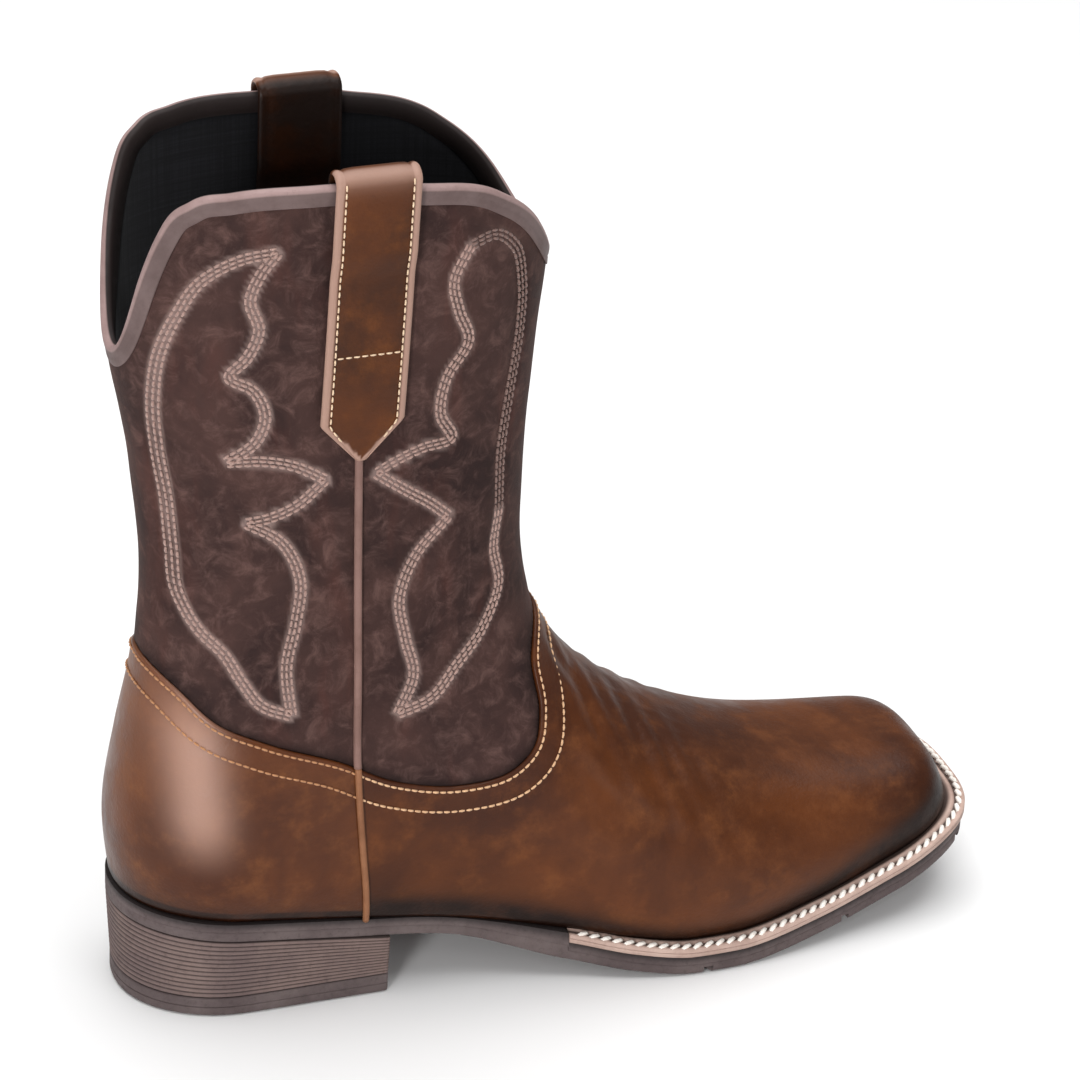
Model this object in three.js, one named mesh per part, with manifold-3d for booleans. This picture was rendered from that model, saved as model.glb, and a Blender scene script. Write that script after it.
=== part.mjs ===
// Western work boot, right foot, standing empty on its sole.
// Millimetres. +X points to the toe, +Y to the inner (medial) side, +Z up.
// The origin is the middle of the heel's floor face.
import * as THREE from 'three';
import { mergeVertices } from 'three/addons/utils/BufferGeometryUtils.js';
import Module from 'manifold-3d';

const wasm = await Module();
wasm.setup();

// Driving sizes
const lastLength = 305;        // upper, from the bulge of the heel to the toe
const ballWidth = 100;         // upper, across the ball of the foot
const heelSeatHeight = 40.5;   // floor to the upper's lower edge at the back
const instepHeight = 111;      // floor to the bend between vamp and shaft
const toeSpring = 22.3;        // lift of the sole under the toe
const toeHeight = 58;          // floor to the top of the toe box
const shaftHeight = 308;       // floor to the height that the collar line falls from
const shaftDepth = 150;        // heel bulge to the front of the collar
const shaftWidth = 76;         // across the shaft's sides
const collarDip = 78;          // from there down to the back scallop
const ankleHollow = 11;        // how far the back seam leans in above the counter
const ridgeShift = 3;          // inward lean of the toe's ridge
const heelLength = 90;         // back of the heel to its breast
const wall = 2.4;              // leather and lining together
const overlayThickness = 1.5;  // vamp and counter, over the lining leather
const gap = 0.3;               // clearance between neighbours
const foldGap = 0.5;           // clearance of the binding and straps, which fold over an edge
const outsoleThickness = 7;
const weltThickness = 3.6;
const weltStart = 152;         // back of the upper to the welt's ends
const weltProud = 0.8;         // welt past the outsole's edge
const weltLip = 7;             // welt under the upper's edge
const soleEdge = 5.5;          // outsole past the upper's lower edge, at the ball
const featherTuck = 4.5;       // turn-in of the upper above the sole
const liftThickness = 7;       // rubber top lift under the heel
const heelRibs = 6;            // rings along the stacked heel's side
const ribDepth = 0.7;
const heelTaper = 1.5;         // the heel's inset at the floor
const grooveDepth = 2.5;
const grooveWidth = 3;
const insoleThickness = 3;
const insoleClearance = 0.8;   // insole's edge to the lining
const bindingThickness = 0.8;
const bindingHeight = 6;
const strapWidth = 28.5;
const strapThickness = 2.2;
const strapTop = 313.5;        // floor to the top of the pull strap's fold
const strapTip = 211;          // floor to the strap's pointed lower end
const strapInnerEnd = 262;     // floor to the strap's end inside the shaft
const lateralStrapLean = 0.03; // forward lean of the outer strap, per millimetre of height
const pipingWidth = 3;
const pipingHeight = 1.6;
const frontRadius = 44;        // rounding of the instep's ridge
const heelRadius = 38;         // rounding of the heel in plan
const shaftRadius = 68;        // rounding of the shaft, front and back
const toeRadius = 24;          // rounding of the toe in plan
const tuckHeight = 20;         // height over which the upper turns in above the sole
const toeSoleRadius = 34;      // rounding of the sole's toe in plan
const heelSoleRadius = 37;     // rounding of the sole's heel in plan
const waistRun = 42;           // length over which the outsole drops behind the welt's ends

// Sections along the last. "along" is a share of lastLength; "heelRise" of the heel seat's height above
// the forefoot; "toeRise" of toeSpring; the half widths of ballWidth; "edge" of soleEdge.
const lastSections = [
  { along: 0.000, heelRise: 1.000, toeRise: 0.00, lateral: 0.360, medial: 0.360, edge: 0.36 },
  { along: 0.131, heelRise: 0.881, toeRise: 0.00, lateral: 0.380, medial: 0.370, edge: 0.36 },
  { along: 0.246, heelRise: 0.720, toeRise: 0.00, lateral: 0.380, medial: 0.360, edge: 0.27 },
  { along: 0.360, heelRise: 0.546, toeRise: 0.00, lateral: 0.385, medial: 0.340, edge: 0.09 },
  { along: 0.498, heelRise: 0.256, toeRise: 0.00, lateral: 0.445, medial: 0.365, edge: 0.60 },
  { along: 0.570, heelRise: 0.095, toeRise: 0.00, lateral: 0.495, medial: 0.405, edge: 0.90 },
  { along: 0.635, heelRise: 0.000, toeRise: 0.00, lateral: 0.522, medial: 0.447, edge: 1.00 },
  { along: 0.700, heelRise: 0.000, toeRise: 0.00, lateral: 0.520, medial: 0.480, edge: 1.00 },
  { along: 0.800, heelRise: 0.000, toeRise: 0.21, lateral: 0.470, medial: 0.482, edge: 1.00 },
  { along: 0.902, heelRise: 0.000, toeRise: 0.57, lateral: 0.405, medial: 0.462, edge: 1.00 },
  { along: 1.000, heelRise: 0.000, toeRise: 1.00, lateral: 0.358, medial: 0.420, edge: 1.00 },
  { along: 1.050, heelRise: 0.000, toeRise: 1.24, lateral: 0.395, medial: 0.435, edge: 1.00 },
];

// Front outline over the toe and vamp, toe first. "forward" is a share of the way from the shaft's front
// to the toe, "rise" of the way from toeHeight to instepHeight.
const vampProfile = [
  { forward: 1.246, rise: -0.060 },
  { forward: 1.062, rise: -0.060 },
  { forward: 0.877, rise: -0.055 },
  { forward: 0.692, rise: 0.005 },
  { forward: 0.508, rise: 0.150 },
  { forward: 0.342, rise: 0.377 },
  { forward: 0.206, rise: 0.660 },
  { forward: 0.095, rise: 1.000 },
];
// Front outline up the shaft. "depth" is a share of shaftDepth, "rise" of the way from the instep to the
// shaft's top.
const shaftProfile = [
  { depth: 0.980, rise: 0.102 },
  { depth: 0.950, rise: 0.223 },
  { depth: 0.947, rise: 0.401 },
  { depth: 0.960, rise: 0.604 },
  { depth: 0.980, rise: 0.782 },
  { depth: 0.993, rise: 0.985 },
  { depth: 1.000, rise: 1.188 },
];
// Back outline. "level" is 0 at the floor, 1 at the instep, 2 at the shaft's top; "lean" is a share of
// ankleHollow, forwards.
const backProfile = [
  { level: 0.18, lean: 0.41 },
  { level: 0.36, lean: 0.18 },
  { level: 0.56, lean: 0.00 },
  { level: 0.86, lean: 0.36 },
  { level: 1.07, lean: 0.82 },
  { level: 1.22, lean: 1.00 },
  { level: 1.45, lean: 0.64 },
  { level: 1.71, lean: -0.14 },
  { level: 1.96, lean: -0.90 },
  { level: 2.16, lean: -1.30 },
];
// Half width of the shaft, as a share of shaftWidth.
const shaftSections = [
  { level: 0.90, half: 0.487 },
  { level: 1.20, half: 0.461 },
  { level: 1.45, half: 0.474 },
  { level: 1.71, half: 0.500 },
  { level: 2.01, half: 0.513 },
];
// Collar line. "depth" is a share of shaftDepth, "drop" of collarDip.
const collarLine = [
  { depth: -0.030, drop: 1.00 },
  { depth: 0.000, drop: 0.84 },
  { depth: 0.030, drop: 0.44 },
  { depth: 0.070, drop: 0.16 },
  { depth: 0.120, drop: 0.05 },
  { depth: 0.200, drop: 0.01 },
  { depth: 0.380, drop: 0.00 },
  { depth: 0.600, drop: 0.04 },
  { depth: 0.800, drop: 0.15 },
  { depth: 0.900, drop: 0.32 },
  { depth: 1.000, drop: 0.67 },
];
// Rows of the upper from the sole ("rise" 0) to the collar (1): where each ends along the front edge and up
// the back, as shares of the way from the sole to the collar.
const upperRows = [
  { rise: 0.00, front: 0.000, back: 0.000 },
  { rise: 0.07, front: 0.028, back: 0.024 },
  { rise: 0.14, front: 0.056, back: 0.055 },
  { rise: 0.21, front: 0.110, back: 0.092 },
  { rise: 0.30, front: 0.200, back: 0.135 },
  { rise: 0.40, front: 0.300, back: 0.187 },
  { rise: 0.50, front: 0.400, back: 0.251 },
  { rise: 0.60, front: 0.510, back: 0.335 },
  { rise: 0.70, front: 0.620, back: 0.462 },
  { rise: 0.80, front: 0.740, back: 0.631 },
  { rise: 0.90, front: 0.875, back: 0.830 },
  { rise: 1.00, front: 1.000, back: 1.000 },
];
// Upper edge of counter and vamp in side view, back first. "depth" is a share of shaftDepth, "height" of
// instepHeight.
const foxingLine = [
  { depth: -0.200, height: 1.230 },
  { depth: 0.047, height: 1.185 },
  { depth: 0.113, height: 1.120 },
  { depth: 0.190, height: 1.024 },
  { depth: 0.285, height: 0.970 },
  { depth: 0.458, height: 0.876 },
  { depth: 0.600, height: 0.775 },
  { depth: 0.744, height: 0.734 },
  { depth: 0.869, height: 0.766 },
  { depth: 0.927, height: 0.837 },
  { depth: 0.945, height: 0.927 },
  { depth: 0.942, height: 1.070 },
  { depth: 0.965, height: 1.140 },
  { depth: 1.350, height: 1.180 },
];
// Side seam, from the strap's tip down to the sole: "depth" is a share of shaftDepth, "height" of strapTip.
const seamLine = [
  { depth: 0.550, height: 0.08 },
  { depth: 0.517, height: 0.30 },
  { depth: 0.503, height: 0.44 },
  { depth: 0.502, height: 0.62 },
  { depth: 0.490, height: 1.00 },
];
// Grooves of the forefoot's tread, each a line of points: "along" is a share of lastLength, "across" of
// half of ballWidth, positive inwards.
const soleGrooves = [
  [{ along: 1.00, across: -0.62 }, { along: 0.94, across: 0.20 }, { along: 0.87, across: 1.30 }],
  [{ along: 0.84, across: -1.30 }, { along: 0.815, across: 0.00 }, { along: 0.74, across: 1.30 }],
  [{ along: 0.68, across: -1.30 }, { along: 0.55, across: 0.10 }, { along: 0.51, across: 1.20 }],
  [{ along: 1.10, across: 0.02 }, { along: 0.80, across: 0.04 }, { along: 0.57, across: 0.06 }],
  [{ along: 1.04, across: 0.42 }, { along: 0.90, across: 0.60 }, { along: 0.75, across: 0.76 },
    { along: 0.53, across: 0.50 }],
];
// Grooves of the heel's lift: "along" is a share of heelLength from its back, "across" of half of ballWidth.
const heelGrooves = [
  [{ along: 1.15, across: 0.54 }, { along: 0.55, across: 0.47 }, { along: 0.32, across: 0.27 },
    { along: 0.26, across: 0.00 }, { along: 0.32, across: -0.27 }, { along: 0.55, across: -0.47 },
    { along: 1.15, across: -0.54 }],
  [{ along: 1.15, across: -0.20 }, { along: 0.88, across: 0.30 }],
  [{ along: 0.78, across: -0.20 }, { along: 0.52, across: 0.30 }],
];

// Mesh fineness
const upperRowCount = 19;
const foxingRowCount = 12;
const sideColumns = 23;
const spreadSamples = 90;
const turningWeight = 45;      // length that a turn of one radian counts for
const turningLimit = 14;       // most that turning adds, in lengths of the step that turns
const profileSteps = 8;
const soleStations = 36;
const weltStations = 28;
const outlineStations = 12;

const heelBack = -heelLength / 2;
const toeEnd = heelBack + lastLength;
const shaftFront = heelBack + shaftDepth;
const ankleFront = heelBack + 0.95 * shaftDepth;
const soleStack = outsoleThickness + weltThickness + 2 * gap;
const recessDepth = overlayThickness + gap;

// Curves through tables

// Value at x of the smooth curve through the rows' (xKey, yKey) pairs; flat beyond its ends.
function curveThrough(rows, xKey, yKey) {
  const xs = rows.map((row) => row[xKey]);
  const ys = rows.map((row) => row[yKey]);
  return smoothCurve(xs, ys);
}

function smoothCurve(xs, ys) {
  const last = xs.length - 1;
  const slope = (i) => (ys[i + 1] - ys[i]) / (xs[i + 1] - xs[i]);
  const tangents = ys.map((_, i) => {
    if (i === 0) return slope(0);
    if (i === last) return slope(last - 1);
    const before = xs[i] - xs[i - 1];
    const after = xs[i + 1] - xs[i];
    return (slope(i - 1) * after + slope(i) * before) / (before + after);
  });
  return (x) => {
    const held = THREE.MathUtils.clamp(x, xs[0], xs[last]);
    let i = 0;
    while (i < last - 1 && held > xs[i + 1]) i += 1;
    const h = xs[i + 1] - xs[i];
    const t = (held - xs[i]) / h;
    const t2 = t * t;
    const t3 = t2 * t;
    return (2 * t3 - 3 * t2 + 1) * ys[i] + (t3 - 2 * t2 + t) * h * tangents[i]
      + (3 * t2 - 2 * t3) * ys[i + 1] + (t3 - t2) * h * tangents[i + 1];
  };
}

// Evenly spaced values from 0 to a top value.
const rises = (count, top) => Array.from({ length: count }, (_, i) => (top * i) / (count - 1));
const ease = (from, to, value) => THREE.MathUtils.smoothstep(value, from, to);
const lerp = THREE.MathUtils.lerp;

// Polyline through points by chord length, a few steps to each span.
function smoothPath(points, steps) {
  const lengths = [0];
  for (let i = 1; i < points.length; i += 1) {
    lengths.push(lengths[i - 1] + points[i].distanceTo(points[i - 1]));
  }
  const xAt = smoothCurve(lengths, points.map((p) => p.x));
  const zAt = smoothCurve(lengths, points.map((p) => p.y));
  const total = lengths[lengths.length - 1];
  const count = steps * (points.length - 1);
  return Array.from({ length: count + 1 }, (_, i) => {
    const s = (total * i) / count;
    return new THREE.Vector2(xAt(s), zAt(s));
  });
}

// Heights and outlines

const height = (level) => (level < 1 ? level * instepHeight
  : instepHeight + (level - 1) * (shaftHeight - instepHeight));
const placeX = (along) => heelBack + along * lastLength;

const heelRiseAt = curveThrough(lastSections, 'along', 'heelRise');
const toeRiseAt = curveThrough(lastSections, 'along', 'toeRise');
const lateralAt = curveThrough(lastSections, 'along', 'lateral');
const medialAt = curveThrough(lastSections, 'along', 'medial');
const edgeAt = curveThrough(lastSections, 'along', 'edge');
const shareAlong = (x) => (x - heelBack) / lastLength;

// Height of the sole's underside at the forefoot, and its run up to the heel seat and the toe.
function soleLine(x) {
  const share = shareAlong(x);
  const heelPart = Math.max(0, heelRiseAt(share)) * (heelSeatHeight - soleStack);
  return heelPart + Math.max(0, toeRiseAt(share)) * toeSpring;
}
// Height of the upper's lower edge.
const feather = (x) => soleStack + soleLine(x);

const halfLast = (x, side) => ballWidth * (side < 0 ? lateralAt : medialAt)(shareAlong(x));

const backTable = backProfile.map((row) => ({ z: height(row.level), x: heelBack + row.lean * ankleHollow }));
const backAt = curveThrough(backTable, 'z', 'x');
const shaftTable = shaftSections.map((row) => ({ z: height(row.level), half: row.half * shaftWidth }));
const shaftHalfAt = curveThrough(shaftTable, 'z', 'half');
const collarTable = collarLine.map((row) => ({
  x: heelBack + row.depth * shaftDepth,
  z: shaftHeight - row.drop * collarDip,
}));
const collarAt = curveThrough(collarTable, 'x', 'z');

const frontPoints = [
  ...vampProfile.map((row) => new THREE.Vector2(
    lerp(ankleFront, toeEnd, row.forward),
    lerp(toeHeight, instepHeight, row.rise),
  )),
  ...shaftProfile.map((row) => new THREE.Vector2(
    heelBack + row.depth * shaftDepth,
    lerp(instepHeight, shaftHeight, row.rise),
  )),
];
const frontPath = smoothPath(frontPoints, profileSteps);

// Signed distance to the front outline, positive inside the boot.
function insideFront(x, z) {
  const point = new THREE.Vector2(x, z);
  let best = Infinity;
  let sign = 1;
  for (let i = 1; i < frontPath.length; i += 1) {
    const start = frontPath[i - 1];
    const run = frontPath[i].clone().sub(start);
    const to = point.clone().sub(start);
    const t = THREE.MathUtils.clamp(to.dot(run) / run.lengthSq(), 0, 1);
    const distance = to.clone().sub(run.clone().multiplyScalar(t)).length();
    if (distance < best) {
      best = distance;
      sign = run.x * to.y - run.y * to.x > 0 ? 1 : -1;
    }
  }
  return best * sign;
}

// The upper's form

// Corner sharpness of a cross section: near round at the heel, squarer at the toe.
const squareness = (x) => 2.15 + 0.75 * ease(0.70, 0.95, shareAlong(x));
const heelRoundness = 2.1;

// How far (x, z) lies into the rounding of front, toe and back: 0 in the middle, 1 on the ridge.
function rounding(x, z, grow) {
  const level = z / instepHeight;
  const frontRun = lerp(frontRadius, shaftRadius, ease(0.81, 1.44, level));
  const backRun = lerp(heelRadius, shaftRadius, ease(0.54, 1.35, level));
  const front = Math.max(0, 1 - (insideFront(x, z) + grow) / frontRun);
  const toe = Math.max(0, 1 - (toeEnd + grow - x) / toeRadius) * (1 - ease(0.90, 1.08, level));
  const back = Math.max(0, 1 - (x - backAt(z) + grow) / backRun);
  const n = squareness(x);
  return front ** n + toe ** n + back ** heelRoundness;
}

// Half width of the upper at a point of its side view, grown outwards (or inwards where negative).
function halfWidth(x, z, side, grow) {
  const risen = THREE.MathUtils.clamp((z - feather(x)) / tuckHeight, 0, 1);
  const tuck = featherTuck * (1 - risen) ** 2;
  const foot = halfLast(x, side) - tuck;
  const plain = lerp(foot, shaftHalfAt(z), ease(0.50, 1.17, z / instepHeight));
  const left = Math.max(0, 1 - rounding(x, z, grow));
  return (plain + grow) * left ** (1 / squareness(x));
}

function surfacePoint(x, z, side, grow) {
  const half = halfWidth(x, z, side, grow);
  const ridge = ridgeShift * ease(0.43, 0.72, shareAlong(x)) * (1 - ease(0.81, 1.26, z / instepHeight));
  const y = side * half + ridge * (1 - Math.min(1, (2 * half) / ballWidth));
  return new THREE.Vector3(x, y, z);
}

// Front edge from the sole's toe up to the collar, used to spread the rows.
const toeMargin = 0.01 * lastLength;   // the rows' ends stand this far before the toe
const vampStart = frontPath.findIndex((p) => p.x < toeEnd - 1.3 * toeMargin);
const toeFoot = new THREE.Vector2(toeEnd + toeMargin, feather(toeEnd + toeMargin));
const collarFront = new THREE.Vector2(shaftFront, collarAt(shaftFront));
const frontEdge = [
  toeFoot,
  new THREE.Vector2(toeEnd + 1.6 * toeMargin, lerp(toeFoot.y, toeHeight, 0.4)),
  new THREE.Vector2(toeEnd + toeMargin, lerp(toeFoot.y, toeHeight, 0.75)),
  ...frontPath.slice(vampStart).filter((p) => p.y < collarFront.y),
  collarFront,
];

function pointAlong(points, share) {
  const lengths = points.slice(1).map((p, i) => p.distanceTo(points[i]));
  let rest = share * lengths.reduce((sum, length) => sum + length, 0);
  for (let i = 0; i < lengths.length; i += 1) {
    if (rest <= lengths[i] || i === lengths.length - 1) {
      return points[i].clone().lerp(points[i + 1], Math.min(1, rest / lengths[i]));
    }
    rest -= lengths[i];
  }
  return points[points.length - 1].clone();
}

const frontShareAt = curveThrough(upperRows, 'rise', 'front');
const backShareAt = curveThrough(upperRows, 'rise', 'back');

// How much longer the collar's edge is than its level run, where it climbs.
function collarSlant(x) {
  const [from, to] = [x - 0.5, x + 0.5].map((at) => surfacePoint(at, collarAt(at), 1, 0));
  return Math.hypot(1, (to.z - from.z) / Math.hypot(to.x - from.x, to.y - from.y));
}

const scallopFoot = shaftHeight - collarDip;   // where the collar line ends behind the back

// One row of the upper in side view, u from 0 behind the back to 1 at the front.
function upperRow(rise, lift = 0) {
  const end = pointAlong(frontEdge, frontShareAt(rise));
  const startZ = lerp(feather(heelBack), scallopFoot, backShareAt(rise));
  const start = new THREE.Vector2(backAt(startZ) - 4, startZ);
  const nearSole = 1 - ease(0, 0.5, rise);
  const nearCollar = ease(0.55, 1, rise);
  return (u) => {
    const x = lerp(start.x, end.x, u);
    const sag = feather(x) - lerp(feather(start.x), feather(end.x), u);
    const hump = collarAt(x) - lerp(scallopFoot, collarAt(end.x), u);
    const raised = lift * lerp(1, collarSlant(x), nearCollar);
    return new THREE.Vector2(x, lerp(start.y, end.y, u) + nearSole * sag + nearCollar * hump + raised);
  };
}

// Where a row leaves the boot's form, searched from its middle.
function rowEnd(row, grow, outside) {
  let inner = 0.5;
  let outer = outside;
  for (let i = 0; i < 26; i += 1) {
    const middle = (inner + outer) / 2;
    const point = row(middle);
    if (rounding(point.x, point.y, grow) < 1) inner = middle;
    else outer = middle;
  }
  return inner;
}

// Closed ring of points along a row: back to front on the outer side, then front to back on the inner side.
function ringOf(row, growAt) {
  const middle = row(0.5);
  const grow = growAt(middle.x, middle.y);
  const from = rowEnd(row, grow, -0.06);
  const to = rowEnd(row, grow, 1.06);
  const place = (u, side) => {
    const point = row(u);
    return surfacePoint(point.x, point.y, side, grow);
  };
  const sideOf = (side) => spreadShares((u) => place(u, side), from, to).map((u) => place(u, side));
  return [...sideOf(-1), ...sideOf(1).slice(1, -1).reverse()];
}

// Shares from one end of a line to the other, spread evenly over its length plus its turning, so that
// tight corners get more points.
function spreadShares(place, from, to) {
  const fine = rises(spreadSamples, 1).map((t) => lerp(from, to, t * t * t * (10 - 15 * t + 6 * t * t)));
  const points = fine.map(place);
  const cost = [0];
  for (let i = 1; i < points.length; i += 1) {
    const step = points[i].clone().sub(points[i - 1]);
    const ridgeTangent = new THREE.Vector3(0, -Math.sign(step.y), 0);
    const before = i > 1 ? points[i - 1].clone().sub(points[i - 2]) : ridgeTangent;
    const turn = before.lengthSq() > 0 ? step.angleTo(before) : 0;
    const extra = Math.min(turningWeight * turn, turningLimit * step.length());
    cost.push(cost[i - 1] + step.length() + extra);
  }
  const shareAt = (wanted) => {
    const i = Math.max(1, cost.findIndex((c) => c >= wanted));
    return lerp(fine[i - 1], fine[i], (wanted - cost[i - 1]) / (cost[i] - cost[i - 1]));
  };
  const total = cost[cost.length - 1];
  return rises(sideColumns, 1).map((t, i) => {
    if (i === 0) return from;
    return i === sideColumns - 1 ? to : shareAt(t * total);
  });
}

// Meshes

// Closed body from a grid of points: rows of equal length. Each row closes on itself, and so do the rows
// one after another.
function closedGrid(rows) {
  const width = rows[0].length;
  const positions = rows.flat().flatMap((p) => [p.x, p.y, p.z]);
  const index = [];
  for (let r = 0; r < rows.length; r += 1) {
    const next = (r + 1) % rows.length;
    for (let c = 0; c < width; c += 1) {
      const side = (c + 1) % width;
      const [a, b, d, e] = [r * width + c, r * width + side, next * width + c, next * width + side];
      index.push(a, b, e, a, e, d);
    }
  }
  return indexed(positions, index);
}

function indexed(positions, index) {
  const geometry = new THREE.BufferGeometry();
  geometry.setAttribute('position', new THREE.Float32BufferAttribute(positions, 3));
  geometry.setIndex(index);
  return geometry;
}

// Long body with a section of the same number of points at each station, closed by flat ends.
function lofted(sections) {
  const width = sections[0].length;
  const positions = sections.flat().flatMap((p) => [p.x, p.y, p.z]);
  const index = [];
  for (let s = 0; s + 1 < sections.length; s += 1) {
    for (let c = 0; c < width; c += 1) {
      const side = (c + 1) % width;
      const [a, b] = [s * width + c, s * width + side];
      const [d, e] = [a + width, b + width];
      index.push(a, b, e, a, e, d);
    }
  }
  const lastStart = (sections.length - 1) * width;
  for (let c = 1; c + 1 < width; c += 1) {
    index.push(0, c + 1, c);
    index.push(lastStart, lastStart + c, lastStart + c + 1);
  }
  return indexed(positions, index);
}

// Turns the faces outwards where the body came out inside out.
function facingOut(geometry) {
  const merged = mergeVertices(geometry, 1e-4);
  const p = merged.getAttribute('position');
  const index = Array.from(merged.getIndex().array);
  const corner = (i) => new THREE.Vector3().fromBufferAttribute(p, i);
  let volume = 0;
  for (let i = 0; i < index.length; i += 3) {
    volume += corner(index[i]).dot(corner(index[i + 1]).cross(corner(index[i + 2])));
  }
  if (volume < 0) index.reverse();
  merged.setIndex(index);
  return merged;
}

function toSolid(geometry) {
  const merged = facingOut(geometry);
  return new wasm.Manifold(new wasm.Mesh({
    numProp: 3,
    vertProperties: new Float32Array(merged.getAttribute('position').array),
    triVerts: new Uint32Array(merged.getIndex().array),
  }));
}

function toGeometry(solid) {
  const mesh = solid.getMesh();
  return indexed(Array.from(mesh.vertProperties), Array.from(mesh.triVerts));
}

// Prism across the boot over an outline of its side view.
function sidePrism(outline) {
  const shape = new THREE.Shape(outline);
  const geometry = new THREE.ExtrudeGeometry(shape, { depth: 2 * ballWidth, bevelEnabled: false });
  geometry.rotateX(Math.PI / 2);
  geometry.translate(0, ballWidth, 0);
  geometry.deleteAttribute('normal');
  geometry.deleteAttribute('uv');
  return toSolid(geometry);
}

// Sole plates

// Half width of a sole layer that stands "reach" past the upper's lower edge.
function plan(x, side, reach) {
  const n = squareness(x);
  const toe = Math.max(0, 1 - (toeEnd + reach - x) / (toeSoleRadius + reach / 2));
  const back = Math.max(0, 1 - (x - (backAt(heelSeatHeight) - reach)) / (heelSoleRadius + reach / 2));
  const half = halfLast(x, side) - featherTuck + reach;
  return side * half * Math.max(0, 1 - toe ** n - back ** heelRoundness) ** (1 / n);
}

// Stations from one place to another, closer together at rounded ends.
function stationsBetween(from, to, count, roundStart, roundEnd) {
  return Array.from({ length: count }, (_, i) => {
    const t = i / (count - 1);
    if (roundStart && roundEnd) return lerp(from, to, (1 - Math.cos(Math.PI * t)) / 2);
    if (roundEnd) return lerp(from, to, Math.sin((Math.PI * t) / 2));
    return roundStart ? lerp(from, to, 1 - Math.cos((Math.PI * t) / 2)) : lerp(from, to, t);
  });
}

// Plate over a run of stations: its top, underside and reach are functions of x.
function plate(stations, reachAt, topAt, undersideAt) {
  return lofted(stations.map((x) => [
    new THREE.Vector3(x, plan(x, -1, reachAt(x)), undersideAt(x)),
    new THREE.Vector3(x, plan(x, 1, reachAt(x)), undersideAt(x)),
    new THREE.Vector3(x, plan(x, 1, reachAt(x)), topAt(x)),
    new THREE.Vector3(x, plan(x, -1, reachAt(x)), topAt(x)),
  ]));
}

const weltX = heelBack + weltStart;
const breastX = heelBack + heelLength;
const soleReach = (x) => soleEdge * edgeAt(shareAlong(x));

// Underside of the outsole: it runs under the welt, and up against the upper behind it.
const soleUnderside = (x) => feather(x) - gap - outsoleThickness
  - (weltThickness + gap) * ease(weltX - waistRun, weltX, x);

// Bar that cuts a groove along a line of points, square in section.
function grooveBar(points, width, lowAt, highAt) {
  const path = new THREE.SplineCurve(points).getSpacedPoints(6 * (points.length - 1));
  return toSolid(lofted(path.map((p, i) => {
    const before = path[Math.max(0, i - 1)];
    const after = path[Math.min(path.length - 1, i + 1)];
    const aside = after.clone().sub(before).normalize().rotateAround(new THREE.Vector2(), Math.PI / 2);
    const left = p.clone().addScaledVector(aside, width / 2);
    const right = p.clone().addScaledVector(aside, -width / 2);
    return [
      new THREE.Vector3(left.x, left.y, lowAt(p.x)),
      new THREE.Vector3(right.x, right.y, lowAt(p.x)),
      new THREE.Vector3(right.x, right.y, highAt(p.x)),
      new THREE.Vector3(left.x, left.y, highAt(p.x)),
    ];
  })));
}

function makeOutsole() {
  const start = backAt(heelSeatHeight) - soleReach(heelBack);
  const end = toeEnd + soleEdge;
  const behind = stationsBetween(start, weltX - gap, Math.round(soleStations / 2), true, false);
  const ahead = stationsBetween(weltX - gap + 0.01, end, soleStations, false, true);
  const topAt = (x) => feather(x) - gap - (x > weltX - gap ? weltThickness + gap : 0);
  let solid = toSolid(plate([...behind, ...ahead], soleReach, topAt, soleUnderside));
  for (const line of soleGrooves) {
    const points = line.map((p) => new THREE.Vector2(placeX(p.along), (p.across * ballWidth) / 2));
    solid = solid.subtract(grooveBar(points, grooveWidth, (x) => soleUnderside(x) - 2,
      (x) => soleUnderside(x) + grooveDepth));
  }
  return toGeometry(solid);
}

// Ring of the welt: from its outer end round the toe to its inner end.
function makeWelt() {
  const reach = soleEdge + weltProud;
  const half = stationsBetween(0, 1, weltStations, false, true);
  const topAt = (x) => feather(x) - gap;
  const section = (share, side) => {
    const outerX = lerp(weltX, toeEnd + reach, share);
    const innerX = lerp(weltX, toeEnd - weltLip, share);
    const outerReach = soleReach(outerX) + weltProud;
    const outerY = plan(outerX, side, share === 1 ? reach : outerReach);
    const innerY = plan(innerX, side, -weltLip);
    return [
      new THREE.Vector3(outerX, outerY, topAt(outerX) - weltThickness),
      new THREE.Vector3(outerX, outerY, topAt(outerX)),
      new THREE.Vector3(innerX, innerY, topAt(innerX)),
      new THREE.Vector3(innerX, innerY, topAt(innerX) - weltThickness),
    ];
  };
  return lofted([
    ...half.map((share) => section(share, -1)),
    ...half.slice(0, -1).reverse().map((share) => section(share, 1)),
  ]);
}

// The insole fills the lining's outline at its own top and underside, whichever is narrower.
function makeInsole() {
  const grow = -wall - recessDepth - insoleClearance;
  const topRow = (u) => {
    const x = lerp(heelBack, toeEnd, u);
    return new THREE.Vector2(x, feather(x) + insoleThickness);
  };
  const from = topRow(rowEnd(topRow, grow, 0)).x;
  const to = topRow(rowEnd(topRow, grow, 1)).x;
  return lofted(stationsBetween(from, to, 26, true, true).map((x) => {
    const low = feather(x);
    const high = low + insoleThickness;
    const reachAt = (side, z) => side * surfacePoint(x, z, side, grow).y;
    const edge = (side) => side * Math.min(reachAt(side, low), reachAt(side, high));
    const corners = [[-1, low], [1, low], [1, high], [-1, high]];
    return corners.map(([side, z]) => new THREE.Vector3(x, edge(side), z));
  }));
}

// Heel

const heelReach = soleEdge * lastSections[0].edge;

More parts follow.
